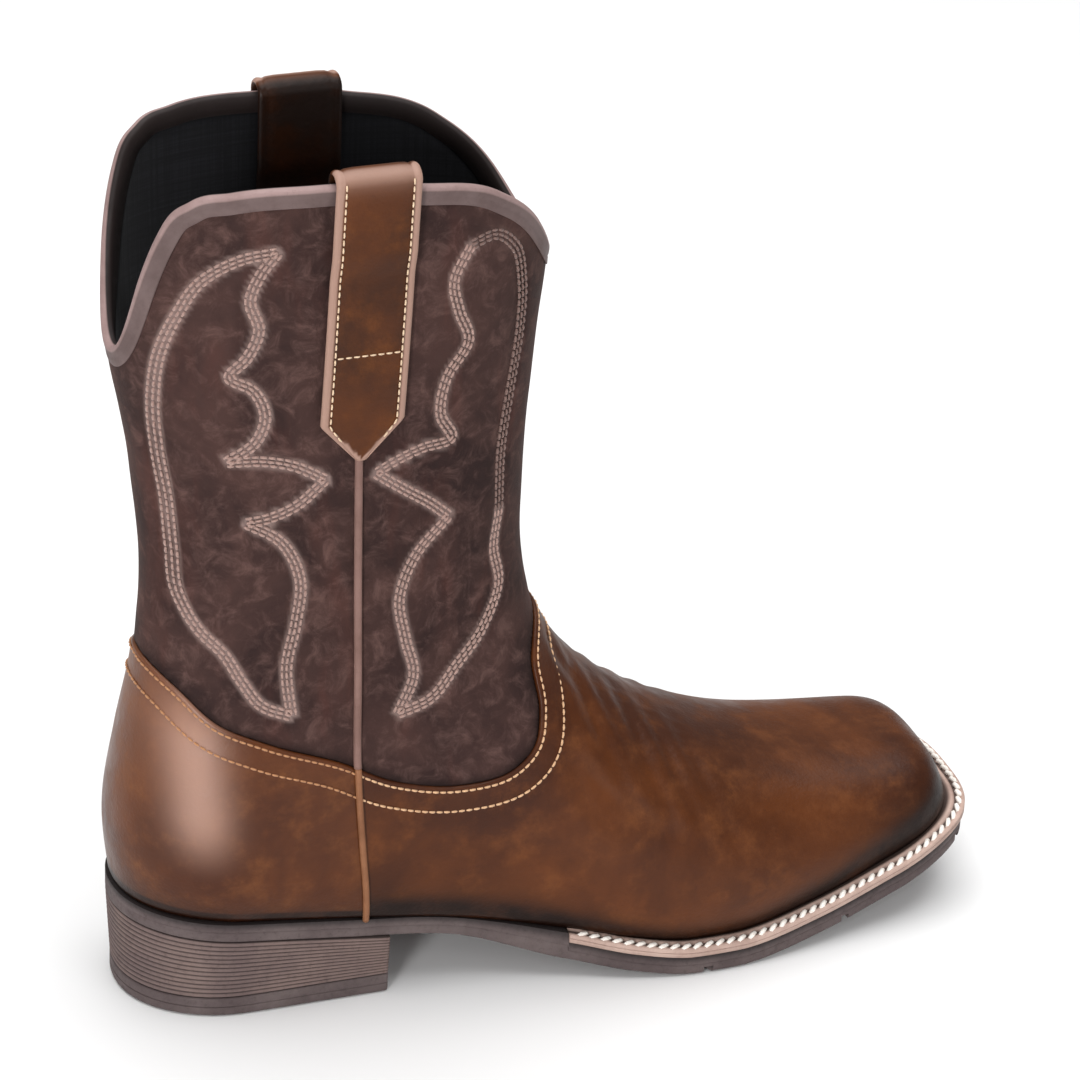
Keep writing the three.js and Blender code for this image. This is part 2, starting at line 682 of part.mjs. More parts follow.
// Outline of the heel in plan at a share of its height: back curve and straight breast.
function heelOutline(inset, zAt) {
  const reach = heelReach - inset;
  const start = backAt(heelSeatHeight) - reach;
  const stations = stationsBetween(start, breastX, outlineStations, true, false);
  const point = (x, side) => new THREE.Vector3(x, plan(x, side, reach), zAt(x));
  return [...stations.map((x) => point(x, -1)), ...stations.slice(1).reverse().map((x) => point(x, 1))];
}

// Body from stacked outlines; the flat ends are strips between the two sides.
function stacked(outlines) {
  const width = outlines[0].length;
  const positions = outlines.flat().flatMap((p) => [p.x, p.y, p.z]);
  const index = [];
  for (let r = 0; r + 1 < outlines.length; r += 1) {
    for (let c = 0; c < width; c += 1) {
      const side = (c + 1) % width;
      const [a, b] = [r * width + c, r * width + side];
      index.push(a, b, b + width, a, b + width, a + width);
    }
  }
  const top = (outlines.length - 1) * width;
  for (let c = 0; c < (width - 1) / 2; c += 1) {
    const [a, b, d, e] = [c, c + 1, (width - c) % width, width - c - 1];
    index.push(a, e, b, top + a, top + b, top + e);
    if (d !== a) index.push(a, d, e, top + a, top + e, top + d);
  }
  return indexed(positions, index);
}

function makeHeelStack() {
  const low = liftThickness + gap;
  const outlines = [];
  const ring = (share, inset) => {
    const taper = lerp(heelTaper, 0, share);
    outlines.push(heelOutline(taper + inset, (x) => lerp(low, soleUnderside(x) - gap, share)));
  };
  for (let rib = 0; rib < heelRibs; rib += 1) {
    ring(rib / heelRibs, rib === 0 ? 0 : ribDepth);
    ring((rib + 0.3) / heelRibs, 0);
    ring((rib + 0.8) / heelRibs, 0);
  }
  ring(1, ribDepth);
  return stacked(outlines);
}

function makeHeelLift() {
  const outlines = [heelOutline(heelTaper + 0.6, () => 0), heelOutline(heelTaper, () => 1),
    heelOutline(heelTaper, () => liftThickness)];
  let solid = toSolid(stacked(outlines));
  for (const line of heelGrooves) {
    const points = line.map((p) => new THREE.Vector2(
      heelBack + p.along * heelLength,
      (p.across * ballWidth) / 2,
    ));
    solid = solid.subtract(grooveBar(points, grooveWidth, () => -2, () => grooveDepth));
  }
  return toGeometry(solid);
}

// Upper, vamp and counter

const outerSkin = () => 0;

// Depth of the lining side: a full wall inside the recess for the overlays, a plain wall above it.
const liningSkin = (x, z) => -wall - recessDepth * (1 - ease(1.0, 1.5, z / instepHeight));

// Ring shaped shell between two skins of the upper's form, with a skirt below the sole line where dropped.
function shell(outerAt, innerAt, count, top, drop = 0) {
  const rows = rises(count, top).map((rise) => upperRow(rise));
  if (drop > 0) rows.unshift(upperRow(0, -drop));
  const outer = rows.map((row) => ringOf(row, outerAt));
  const inner = rows.map((row) => ringOf(row, innerAt));
  return toSolid(closedGrid([...outer, ...inner.reverse()]));
}

// Side view outlines of the foxing: all below its upper edge, raised by a clearance.
const foxingEdge = smoothPath(foxingLine.map((row) => new THREE.Vector2(
  heelBack + row.depth * shaftDepth,
  row.height * instepHeight,
)), 4);
const seamAt = curveThrough(seamLine.map((row) => ({
  z: row.height * strapTip,
  x: heelBack + row.depth * shaftDepth,
})), 'z', 'x');

// How far the cutting outlines reach past the boot's ends and under the floor.
const beyond = 0.15 * lastLength;
const aboveOverlays = 1.2 * instepHeight;

function foxingOutline(clearance) {
  const edge = foxingEdge.map((p, i) => {
    const before = foxingEdge[Math.max(0, i - 1)];
    const after = foxingEdge[Math.min(foxingEdge.length - 1, i + 1)];
    const along = after.clone().sub(before).normalize();
    return new THREE.Vector2(p.x - along.y * clearance, p.y + along.x * clearance);
  });
  return [...edge, new THREE.Vector2(toeEnd + beyond, aboveOverlays),
    new THREE.Vector2(toeEnd + beyond, -beyond), new THREE.Vector2(heelBack - beyond, -beyond)];
}

// Side view outline of everything behind the side seam, moved by a clearance.
function behindSeam(clearance) {
  const heights = rises(6, aboveOverlays);
  const seam = heights.map((z) => new THREE.Vector2(seamAt(z) - clearance, z));
  return [new THREE.Vector2(heelBack - beyond, -beyond), new THREE.Vector2(seam[0].x, -beyond), ...seam,
    new THREE.Vector2(heelBack - beyond, aboveOverlays)];
}

const foxingTop = 0.76;   // highest row that the overlays reach

function makeUpper() {
  const body = shell(outerSkin, liningSkin, upperRowCount, 1);
  const cutter = shell(() => 4, () => -recessDepth, foxingRowCount, foxingTop, 4);
  return toGeometry(body.subtract(cutter.intersect(sidePrism(foxingOutline(gap)))));
}

function makeOverlays() {
  const skin = shell(outerSkin, () => -overlayThickness, foxingRowCount, foxingTop)
    .intersect(sidePrism(foxingOutline(0)));
  return {
    vamp: toGeometry(skin.subtract(sidePrism(behindSeam(-gap / 2)))),
    counter: toGeometry(skin.intersect(sidePrism(behindSeam(gap / 2)))),
  };
}

// Folded strip over the collar's edge.
function makeBinding() {
  const outside = foldGap + bindingThickness;
  const inside = -wall - outside;
  const corners = [
    { lift: -bindingHeight, grow: outside },
    { lift: outside, grow: outside },
    { lift: outside, grow: inside },
    { lift: -bindingHeight, grow: inside },
    { lift: -bindingHeight, grow: -wall - foldGap },
    { lift: foldGap, grow: -wall - foldGap },
    { lift: foldGap, grow: foldGap },
    { lift: -bindingHeight, grow: foldGap },
  ];
  return closedGrid(corners.map((corner) => ringOf(upperRow(1, corner.lift), () => corner.grow)));
}

// Pull strap: up the outside from its pointed tip, over the collar and down the inside.
function makeStrap(side, lean) {
  const overBinding = 2 * foldGap + bindingThickness;
  const collarZ = shaftHeight - bindingHeight;
  const outsideAt = (z) => lerp(foldGap, overBinding, ease(collarZ - 26, collarZ - 16, z));
  const insideAt = (z) => -wall - outsideAt(z);
  const centreX = (z) => seamAt(strapTip) + lean * (z - strapTip);
  const tipLength = strapWidth / 2 - 1;
  const halfAt = (z) => lerp(1.8, strapWidth / 2, Math.min(1, (z - strapTip) / tipLength));
  const section = (half, outerLeg, innerLeg) => {
    const across = [-1, -1 / 3, 1 / 3, 1];
    const place = (share, leg) => {
      const x = centreX(leg.z) + share * half;
      return new THREE.Vector3(x, side * halfWidth(x, leg.z, side, leg.grow), leg.z);
    };
    return [...across.map((s) => place(s, outerLeg)), ...across.reverse().map((s) => place(s, innerLeg))];
  };
  const flat = (z, half, faceAt, outward) => section(half, { z, grow: faceAt(z) + outward * strapThickness },
    { z, grow: faceAt(z) });
  const outerLevels = [strapTip, lerp(strapTip, strapTip + tipLength, 0.5), strapTip + tipLength,
    ...rises(9, 1).slice(1).map((t) => lerp(strapTip + tipLength, collarZ + bindingHeight + 1, t))];
  const innerLevels = rises(6, 1).map((t) => lerp(collarZ + bindingHeight + 1, strapInnerEnd, t));
  const foldZ = collarZ + bindingHeight + 1;
  const foldInner = strapTop - strapThickness;
  const middle = -wall / 2;
  const fold = rises(7, Math.PI).slice(1, -1).map((angle) => {
    const wide = outsideAt(foldZ) + wall / 2;
    const outer = { z: foldZ + (strapTop - foldZ) * Math.sin(angle),
      grow: middle + (wide + strapThickness) * Math.cos(angle) };
    const inner = { z: foldZ + (foldInner - foldZ) * Math.sin(angle), grow: middle + wide * Math.cos(angle) };
    return section(strapWidth / 2, outer, inner);
  });
  return lofted([
    ...outerLevels.map((z) => flat(z, halfAt(z), outsideAt, 1)),
    ...fold,
    ...innerLevels.map((z) => flat(z, strapWidth / 2, insideAt, -1)),
  ]);
}

// Raised cord along the side seam, from the strap's tip to the sole.
function makePiping(side) {
  const top = strapTip - 2 * gap;
  const bottom = feather(seamAt(0)) + gap;
  const profile = [
    { along: -0.5, out: gap },
    { along: -0.3, out: gap + pipingHeight },
    { along: 0.3, out: gap + pipingHeight },
    { along: 0.5, out: gap },
  ];
  return lofted(rises(22, 1).map((t) => {
    const z = lerp(bottom, top, t);
    return profile.map((corner) => {
      const x = seamAt(z) + corner.along * pipingWidth;
      return new THREE.Vector3(x, side * (halfWidth(x, z, side, 0) + corner.out), z);
    });
  }));
}

// Assembly

const leather = { roughness: 0.6, metalness: 0 };
const materials = {
  tan: new THREE.MeshStandardMaterial({ color: '#80502f', ...leather }),
  brown: new THREE.MeshStandardMaterial({ color: '#50403a', roughness: 0.85, metalness: 0 }),
  strap: new THREE.MeshStandardMaterial({ color: '#7d4a22', ...leather }),
  edge: new THREE.MeshStandardMaterial({ color: '#8a7770', ...leather }),
  cream: new THREE.MeshStandardMaterial({ color: '#e2d6c4', ...leather }),
  rubber: new THREE.MeshStandardMaterial({ color: '#6a5d59', roughness: 0.8, metalness: 0 }),
  lining: new THREE.MeshStandardMaterial({ color: '#2b2a2b', roughness: 0.9, metalness: 0 }),
};

const boot = new THREE.Group();

function addPiece(name, geometry, material) {
  const mesh = new THREE.Mesh(facingOut(geometry), material);
  mesh.name = name;
  boot.add(mesh);
}

const overlays = makeOverlays();
addPiece('outsole', makeOutsole(), materials.rubber);
addPiece('heel_stack', makeHeelStack(), materials.rubber);
addPiece('heel_lift', makeHeelLift(), materials.rubber);
addPiece('welt', makeWelt(), materials.cream);
addPiece('insole', makeInsole(), materials.lining);
addPiece('upper', makeUpper(), materials.brown);
addPiece('vamp', overlays.vamp, materials.tan);
addPiece('counter', overlays.counter, materials.tan);
addPiece('collar_binding', makeBinding(), materials.edge);
addPiece('pull_strap_lateral', makeStrap(-1, lateralStrapLean), materials.strap);
addPiece('pull_strap_medial', makeStrap(1, 0), materials.strap);
addPiece('side_piping_lateral', makePiping(-1), materials.edge);
addPiece('side_piping_medial', makePiping(1), materials.edge);

export default boot;
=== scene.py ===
"""Western work boot, right foot: the finish of every surface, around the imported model.

Forms are worked out in millimetres in the model's own frame and turned into metres when a mesh is made.
+X points to the toe, +Y to the inner (medial) side, +Z up; the heel's floor face is the origin.
"""
import math

import bpy
import numpy as np
from mathutils import Matrix, Vector
from mathutils.kdtree import KDTree


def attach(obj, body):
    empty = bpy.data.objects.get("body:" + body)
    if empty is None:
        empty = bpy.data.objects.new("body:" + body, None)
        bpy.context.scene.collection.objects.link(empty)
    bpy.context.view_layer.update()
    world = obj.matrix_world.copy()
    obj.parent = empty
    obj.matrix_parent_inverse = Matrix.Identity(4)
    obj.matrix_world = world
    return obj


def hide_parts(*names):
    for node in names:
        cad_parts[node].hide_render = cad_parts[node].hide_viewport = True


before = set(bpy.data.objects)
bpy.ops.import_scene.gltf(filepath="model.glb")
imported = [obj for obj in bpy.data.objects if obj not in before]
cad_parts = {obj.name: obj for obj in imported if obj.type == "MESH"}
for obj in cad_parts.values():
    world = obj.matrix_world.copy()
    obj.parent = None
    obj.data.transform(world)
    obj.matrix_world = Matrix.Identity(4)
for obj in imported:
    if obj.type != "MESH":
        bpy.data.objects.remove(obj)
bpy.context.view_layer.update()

MM = 0.001

# Driving sizes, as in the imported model
LAST_LENGTH = 305
BALL_WIDTH = 100
HEEL_SEAT_HEIGHT = 40.5
INSTEP_HEIGHT = 111
TOE_SPRING = 22.3
TOE_HEIGHT = 58
SHAFT_HEIGHT = 308
SHAFT_DEPTH = 150
SHAFT_WIDTH = 76
COLLAR_DIP = 78
ANKLE_HOLLOW = 11
RIDGE_SHIFT = 3
HEEL_LENGTH = 90
WALL = 2.4
OVERLAY = 1.5
GAP = 0.3
FOLD_GAP = 0.5
OUTSOLE = 7
WELT = 3.6
WELT_START = 152
WELT_PROUD = 0.8
WELT_LIP = 7
SOLE_EDGE = 5.5
TUCK = 4.5
TUCK_HEIGHT = 20
LIFT = 7
HEEL_TAPER = 1.5
GROOVE_DEPTH = 2.5
GROOVE_WIDTH = 3
BINDING = 0.8
STRAP_WIDTH = 28.5
STRAP = 2.2
STRAP_TOP = 313.5
STRAP_TIP = 211
STRAP_INNER_END = 262
STRAP_LEAN = {-1: 0.03, 1: 0.0}
FRONT_RADIUS = 44
HEEL_RADIUS = 38
SHAFT_RADIUS = 68
TOE_RADIUS = 24
TOE_SOLE_RADIUS = 34
HEEL_SOLE_RADIUS = 37
WAIST_RUN = 42

HEEL_BACK = -HEEL_LENGTH / 2
TOE_END = HEEL_BACK + LAST_LENGTH
SHAFT_FRONT = HEEL_BACK + SHAFT_DEPTH
ANKLE_FRONT = HEEL_BACK + 0.95 * SHAFT_DEPTH
SOLE_STACK = OUTSOLE + WELT + 2 * GAP
RECESS = OVERLAY + GAP
SCALLOP_FOOT = SHAFT_HEIGHT - COLLAR_DIP
LATERAL, MEDIAL = -1, 1
SIDE_WORDS = {LATERAL: "lateral", MEDIAL: "medial"}
# The upper's rows start behind the back and end past the toe
ROW_OVERLAP = 4
TOE_MARGIN = 3

# Sections along the last: share of its length, rise of the heel seat, rise of the toe, half widths outer
# and inner (shares of the ball width), and the sole's edge (share of SOLE_EDGE)
LAST_SECTIONS = np.array([
    (0.000, 1.000, 0.00, 0.360, 0.360, 0.36),
    (0.131, 0.881, 0.00, 0.380, 0.370, 0.36),
    (0.246, 0.720, 0.00, 0.380, 0.360, 0.27),
    (0.360, 0.546, 0.00, 0.385, 0.340, 0.09),
    (0.498, 0.256, 0.00, 0.445, 0.365, 0.60),
    (0.570, 0.095, 0.00, 0.495, 0.405, 0.90),
    (0.635, 0.000, 0.00, 0.522, 0.447, 1.00),
    (0.700, 0.000, 0.00, 0.520, 0.480, 1.00),
    (0.800, 0.000, 0.21, 0.470, 0.482, 1.00),
    (0.902, 0.000, 0.57, 0.405, 0.462, 1.00),
    (1.000, 0.000, 1.00, 0.358, 0.420, 1.00),
    (1.050, 0.000, 1.24, 0.395, 0.435, 1.00),
])
# Front outline over toe and vamp: share of the way from the shaft's front to the toe, share of the way
# from TOE_HEIGHT to INSTEP_HEIGHT
VAMP_PROFILE = [
    (1.246, -0.060), (1.062, -0.060), (0.877, -0.055), (0.692, 0.005), (0.508, 0.150), (0.342, 0.377),
    (0.206, 0.660), (0.095, 1.000),
]
# Front outline up the shaft: share of SHAFT_DEPTH, share of the way from the instep to the top
SHAFT_PROFILE = [
    (0.980, 0.102), (0.950, 0.223), (0.947, 0.401), (0.960, 0.604), (0.980, 0.782), (0.993, 0.985),
    (1.000, 1.188),
]
# Back outline: level (0 floor, 1 instep, 2 top), lean forwards as a share of ANKLE_HOLLOW
BACK_PROFILE = [
    (0.18, 0.41), (0.36, 0.18), (0.56, 0.00), (0.86, 0.36), (1.07, 0.82), (1.22, 1.00), (1.45, 0.64),
    (1.71, -0.14), (1.96, -0.90), (2.16, -1.30),
]
# Half width of the shaft: level, share of SHAFT_WIDTH
SHAFT_SECTIONS = [(0.90, 0.487), (1.20, 0.461), (1.45, 0.474), (1.71, 0.500), (2.01, 0.513)]
# Collar line: share of SHAFT_DEPTH, share of COLLAR_DIP
COLLAR_LINE = [
    (-0.03, 1.00), (0.00, 0.84), (0.03, 0.44), (0.07, 0.16), (0.12, 0.05), (0.20, 0.01), (0.38, 0.00),
    (0.60, 0.04), (0.80, 0.15), (0.90, 0.32), (1.00, 0.67),
]
# Rows of the upper, from the sole to the collar: rise, share up the front edge, share up the back
UPPER_ROWS = np.array([
    (0.00, 0.000, 0.000), (0.07, 0.028, 0.024), (0.14, 0.056, 0.055), (0.21, 0.110, 0.092),
    (0.30, 0.200, 0.135), (0.40, 0.300, 0.187), (0.50, 0.400, 0.251), (0.60, 0.510, 0.335),
    (0.70, 0.620, 0.462), (0.80, 0.740, 0.631), (0.90, 0.875, 0.830), (1.00, 1.000, 1.000),
])
# Upper edge of vamp and counter in side view, back first: share of SHAFT_DEPTH, share of INSTEP_HEIGHT
FOXING_LINE = [
    (-0.200, 1.230), (0.047, 1.185), (0.113, 1.120), (0.190, 1.024), (0.285, 0.970), (0.458, 0.876),
    (0.600, 0.775), (0.744, 0.734), (0.869, 0.766), (0.927, 0.837), (0.945, 0.927), (0.942, 1.070),
    (0.965, 1.140), (1.350, 1.180),
]
# Side seam: share of STRAP_TIP upwards, share of SHAFT_DEPTH
SEAM_LINE = [(0.08, 0.550), (0.30, 0.517), (0.44, 0.503), (0.62, 0.502), (1.00, 0.490)]
# Grooves of the forefoot's tread: share of LAST_LENGTH, share of half the ball width (inwards)
SOLE_GROOVES = [
    [(1.00, -0.62), (0.94, 0.20), (0.87, 1.30)],
    [(0.84, -1.30), (0.815, 0.00), (0.74, 1.30)],
    [(0.68, -1.30), (0.55, 0.10), (0.51, 1.20)],
    [(1.10, 0.02), (0.80, 0.04), (0.57, 0.06)],
    [(1.04, 0.42), (0.90, 0.60), (0.75, 0.76), (0.53, 0.50)],
]
# Grooves of the heel's lift: share of HEEL_LENGTH from the back, share of half the ball width
HEEL_GROOVES = [
    [(1.15, 0.54), (0.55, 0.47), (0.32, 0.27), (0.26, 0.00), (0.32, -0.27), (0.55, -0.47), (1.15, -0.54)],
    [(1.15, -0.20), (0.88, 0.30)],
    [(0.78, -0.20), (0.52, 0.30)],
]

# Mesh fineness
SKIN_ROWS = 150
SKIN_HALF_COLUMNS = 220
FINE_SAMPLES = 360


# Curves

def ease(low, high, value):
    t = np.clip((value - low) / (high - low), 0, 1)
    return t * t * (3 - 2 * t)


def lerp(a, b, t):
    return a + (b - a) * t


def curve(xs, ys):
    """Smooth curve through the points, flat beyond its ends; takes arrays."""
    xs, ys = np.asarray(xs, float), np.asarray(ys, float)
    steps = np.diff(xs)
    slopes = np.diff(ys) / steps
    tangents = np.empty_like(ys)
    tangents[0], tangents[-1] = slopes[0], slopes[-1]
    tangents[1:-1] = (slopes[:-1] * steps[1:] + slopes[1:] * steps[:-1]) / (steps[1:] + steps[:-1])

    def at(x):
        held = np.clip(x, xs[0], xs[-1])
        i = np.clip(np.searchsorted(xs, held, side="left") - 1, 0, len(xs) - 2)
        h = steps[i]
        t = (held - xs[i]) / h
        t2, t3 = t * t, t * t * t
        return ((2 * t3 - 3 * t2 + 1) * ys[i] + (t3 - 2 * t2 + t) * h * tangents[i]
                + (3 * t2 - 2 * t3) * ys[i + 1] + (t3 - t2) * h * tangents[i + 1])
    return at


def lengths_along(points):
    return np.concatenate([[0], np.cumsum(np.linalg.norm(np.diff(points, axis=0), axis=1))])


def smooth_path(points, step):
    """Points along the smooth line through a few given ones, about a step apart."""
    points = np.asarray(points, float)
    at = lengths_along(points)
    count = max(2, int(at[-1] / step) + 1)
    places = np.linspace(0, at[-1], count)
    return np.stack([curve(at, points[:, k])(places) for k in range(points.shape[1])], axis=1)


def signed_distance(path, x, z):
    """Distance to a path in side view, positive on the left of its direction."""
    x, z = np.broadcast_arrays(np.asarray(x, float), np.asarray(z, float))
    best = np.full(x.shape, 1e9)
    sign = np.ones(x.shape)
    for (ax, az), (bx, bz) in zip(path[:-1], path[1:]):
        run_x, run_z = bx - ax, bz - az
        to_x, to_z = x - ax, z - az
        t = np.clip((to_x * run_x + to_z * run_z) / (run_x ** 2 + run_z ** 2), 0, 1)
        distance = np.hypot(to_x - t * run_x, to_z - t * run_z)
        nearer = distance < best
        best = np.where(nearer, distance, best)
        sign = np.where(nearer, np.where(run_x * to_z - run_z * to_x > 0, 1, -1), sign)
    return best * sign


# The boot's form

def height(level):
    level = np.asarray(level, float)
    return np.where(level < 1, level * INSTEP_HEIGHT,
                    INSTEP_HEIGHT + (level - 1) * (SHAFT_HEIGHT - INSTEP_HEIGHT))


def share_along(x):
    return (x - HEEL_BACK) / LAST_LENGTH


heel_rise_at, toe_rise_at, lateral_at, medial_at, edge_at = (
    curve(LAST_SECTIONS[:, 0], LAST_SECTIONS[:, k]) for k in range(1, 6))


def sole_line(x):
    share = share_along(x)
    heel_part = np.maximum(0, heel_rise_at(share)) * (HEEL_SEAT_HEIGHT - SOLE_STACK)
    return heel_part + np.maximum(0, toe_rise_at(share)) * TOE_SPRING


def feather(x):
    """Height of the upper's lower edge."""
    return SOLE_STACK + sole_line(x)


def half_last(x, side):
    share = share_along(x)
    return BALL_WIDTH * np.where(np.asarray(side) < 0, lateral_at(share), medial_at(share))


back_profile = np.array(BACK_PROFILE)
back_at = curve(height(back_profile[:, 0]), HEEL_BACK + back_profile[:, 1] * ANKLE_HOLLOW)
shaft_sections = np.array(SHAFT_SECTIONS)
shaft_half_at = curve(height(shaft_sections[:, 0]), shaft_sections[:, 1] * SHAFT_WIDTH)
collar_line = np.array(COLLAR_LINE)
collar_at = curve(HEEL_BACK + collar_line[:, 0] * SHAFT_DEPTH, SHAFT_HEIGHT - collar_line[:, 1] * COLLAR_DIP)

front_points = np.array(
    [(lerp(ANKLE_FRONT, TOE_END, a), lerp(TOE_HEIGHT, INSTEP_HEIGHT, b)) for a, b in VAMP_PROFILE]
    + [(HEEL_BACK + a * SHAFT_DEPTH, lerp(INSTEP_HEIGHT, SHAFT_HEIGHT, b)) for a, b in SHAFT_PROFILE])
front_path = smooth_path(front_points, 3.5)


def squareness(x):
    return 2.15 + 0.75 * ease(0.70, 0.95, share_along(x))


HEEL_ROUNDNESS = 2.1


def rounding(x, z, grow=0.0):
    """How far a point of the side view lies into the rounding of front, toe and back: 1 on the ridge."""
    level = z / INSTEP_HEIGHT
    front_run = lerp(FRONT_RADIUS, SHAFT_RADIUS, ease(0.81, 1.44, level))
    back_run = lerp(HEEL_RADIUS, SHAFT_RADIUS, ease(0.54, 1.35, level))
    front = np.maximum(0, 1 - (signed_distance(front_path, x, z) + grow) / front_run)
    toe = np.maximum(0, 1 - (TOE_END + grow - x) / TOE_RADIUS) * (1 - ease(0.90, 1.08, level))
    back = np.maximum(0, 1 - (x - back_at(z) + grow) / back_run)
    n = squareness(x)
    return front ** n + toe ** n + back ** HEEL_ROUNDNESS


def half_width(x, z, side, grow=0.0):
    tuck = TUCK * (1 - np.clip((z - feather(x)) / TUCK_HEIGHT, 0, 1)) ** 2
    foot = half_last(x, side) - tuck
    plain = lerp(foot, shaft_half_at(z), ease(0.50, 1.17, z / INSTEP_HEIGHT))
    left = np.maximum(0, 1 - rounding(x, z, grow))
    return (plain + grow) * left ** (1 / squareness(x))


def on_side(x, z, side, grow=0.0):
    """Point of the outer form at a place of its side view."""
    half = half_width(x, z, side, grow)
    ridge = RIDGE_SHIFT * ease(0.43, 0.72, share_along(x)) * (1 - ease(0.81, 1.26, z / INSTEP_HEIGHT))
    y = side * half + ridge * (1 - np.minimum(1, 2 * half / BALL_WIDTH))
    return np.stack(np.broadcast_arrays(x, y, z), axis=-1)


vamp_start = int(np.argmax(front_path[:, 0] < TOE_END - ROW_OVERLAP))
collar_front = np.array([SHAFT_FRONT, float(collar_at(SHAFT_FRONT))])
toe_x = TOE_END + TOE_MARGIN
toe_z = float(feather(toe_x))
front_edge = np.array(
    [(toe_x, toe_z), (toe_x + 2, lerp(toe_z, TOE_HEIGHT, 0.4)), (toe_x, lerp(toe_z, TOE_HEIGHT, 0.75))]
    + [p for p in front_path[vamp_start:] if p[1] < collar_front[1]]
    + [collar_front])
front_edge_lengths = lengths_along(front_edge)
front_share_at = curve(UPPER_ROWS[:, 0], UPPER_ROWS[:, 1])
back_share_at = curve(UPPER_ROWS[:, 0], UPPER_ROWS[:, 2])


def upper_row(rise):
    """One row of the upper in side view: (x, z) at u, from 0 behind the back to 1 at the front."""
    place = float(front_share_at(rise)) * front_edge_lengths[-1]
    end = np.array([np.interp(place, front_edge_lengths, front_edge[:, k]) for k in (0, 1)])
    start_z = lerp(float(feather(HEEL_BACK)), SCALLOP_FOOT, float(back_share_at(rise)))
    start = np.array([float(back_at(start_z)) - ROW_OVERLAP, start_z])
    near_sole = 1 - ease(0, 0.5, rise)
    near_collar = ease(0.55, 1, rise)

    def at(u):
        x = lerp(start[0], end[0], u)
        sag = feather(x) - lerp(feather(start[0]), feather(end[0]), u)
        hump = collar_at(x) - lerp(SCALLOP_FOOT, collar_at(end[0]), u)
        return x, lerp(start[1], end[1], u) + near_sole * sag + near_collar * hump
    return at


def row_end(row, outside):
    inner, outer = 0.5, outside
    for _ in range(24):
        middle = (inner + outer) / 2
        x, z = row(middle)
        if rounding(x, z) < 1:
            inner = middle
        else:
            outer = middle
    return inner


def make_skin():
    """Grid of the outer form: rows from sole to collar, columns round from the back by the outer side."""
    t = np.linspace(0, 1, FINE_SAMPLES)
    gather = t ** 3 * (10 - 15 * t + 6 * t * t)
    rows = []
    for rise in np.linspace(0, 1, SKIN_ROWS):
        row = upper_row(rise)
        u = lerp(row_end(row, -0.06), row_end(row, 1.06), gather)
        x, z = row(u)
        halves = []
        for side in (LATERAL, MEDIAL):
            line = on_side(x, z, side)
            at = lengths_along(line)
            wanted = np.linspace(0, at[-1], SKIN_HALF_COLUMNS + 1)
            halves.append(np.stack([np.interp(wanted, at, line[:, k]) for k in range(3)], axis=1))
        rows.append(np.concatenate([halves[0][:-1], halves[1][::-1][:-1]]))
    return np.array(rows)


def unit(vectors):
    return vectors / np.maximum(np.linalg.norm(vectors, axis=-1, keepdims=True), 1e-12)


skin_grid = make_skin()
across_grid = np.roll(skin_grid, -1, axis=1) - np.roll(skin_grid, 1, axis=1)
up_grid = np.gradient(skin_grid, axis=0)
normal_grid = unit(np.cross(across_grid, up_grid))
middle_row = skin_grid[SKIN_ROWS // 2]
if np.mean(np.sum((middle_row - middle_row.mean(0)) * normal_grid[SKIN_ROWS // 2], axis=1)) < 0:
    normal_grid = -normal_grid


def cubic_weights(f):
    return (-0.5 * f + f * f - 0.5 * f ** 3, 1 - 2.5 * f * f + 1.5 * f ** 3,
            0.5 * f + 2 * f * f - 1.5 * f ** 3, -0.5 * f * f + 0.5 * f ** 3)


def sample(grid, s, r):
    """Smooth value of a grid at column share s (round the boot) and row share r (up the boot)."""
    s, r = np.broadcast_arrays(np.asarray(s, float), np.asarray(r, float))
    column = (s % 1.0) * grid.shape[1]
    row = np.clip(r, 0, 1) * (grid.shape[0] - 1)
    c0 = np.floor(column).astype(int)
    r0 = np.minimum(np.floor(row).astype(int), grid.shape[0] - 2)
    wc = cubic_weights(column - c0)
    wr = cubic_weights(row - r0)
    total = 0
    for i in range(4):
        index = r0 + i - 1
        held = np.clip(index, 0, grid.shape[0] - 1)
        line = 0
        for j in range(4):
            line = line + wc[j][..., None] * grid[held, (c0 + j - 1) % grid.shape[1]]
        if np.any(index < 0) or np.any(index >= grid.shape[0]):
            beyond = (index - held)[..., None]
            inner = np.where(index < 0, 1, grid.shape[0] - 2)
            edge_value = grid[held, c0 % grid.shape[1]]
            step = edge_value - grid[inner, c0 % grid.shape[1]]
            line = line + np.where(beyond != 0, step, 0)
        total = total + wr[i][..., None] * line
    return total


def skin(s, r, lift=0.0):
    """Point of the outer form, raised along its normal."""
    return sample(skin_grid, s, r) + skin_normal(s, r) * np.asarray(lift, float)[..., None]


def skin_normal(s, r):
    return unit(sample(normal_grid, s, r))


def tree_of(points):
    tree = KDTree(len(points))
    for i, p in enumerate(points):
        tree.insert(p, i)
    tree.balance()
    return tree


def nearest(points, tree):
    """Number of each point's nearest point in a tree, and the distance to it."""
    found = [tree.find(p)[1:] for p in points.reshape(-1, 3)]
    return [np.array([f[k] for f in found]).reshape(points.shape[:-1]) for k in (0, 1)]


skin_tree = tree_of(skin_grid.reshape(-1, 3))
flat_normals = normal_grid.reshape(-1, 3)


def normals_near(points):
    return flat_normals[nearest(points, skin_tree)[0]]


foxing_path = smooth_path([(HEEL_BACK + a * SHAFT_DEPTH, b * INSTEP_HEIGHT) for a, b in FOXING_LINE], 2.0)
seam_rows = np.array(SEAM_LINE)
seam_at = curve(seam_rows[:, 0] * STRAP_TIP, HEEL_BACK + seam_rows[:, 1] * SHAFT_DEPTH)


def above_foxing(x, z):
    return signed_distance(foxing_path, x, z)


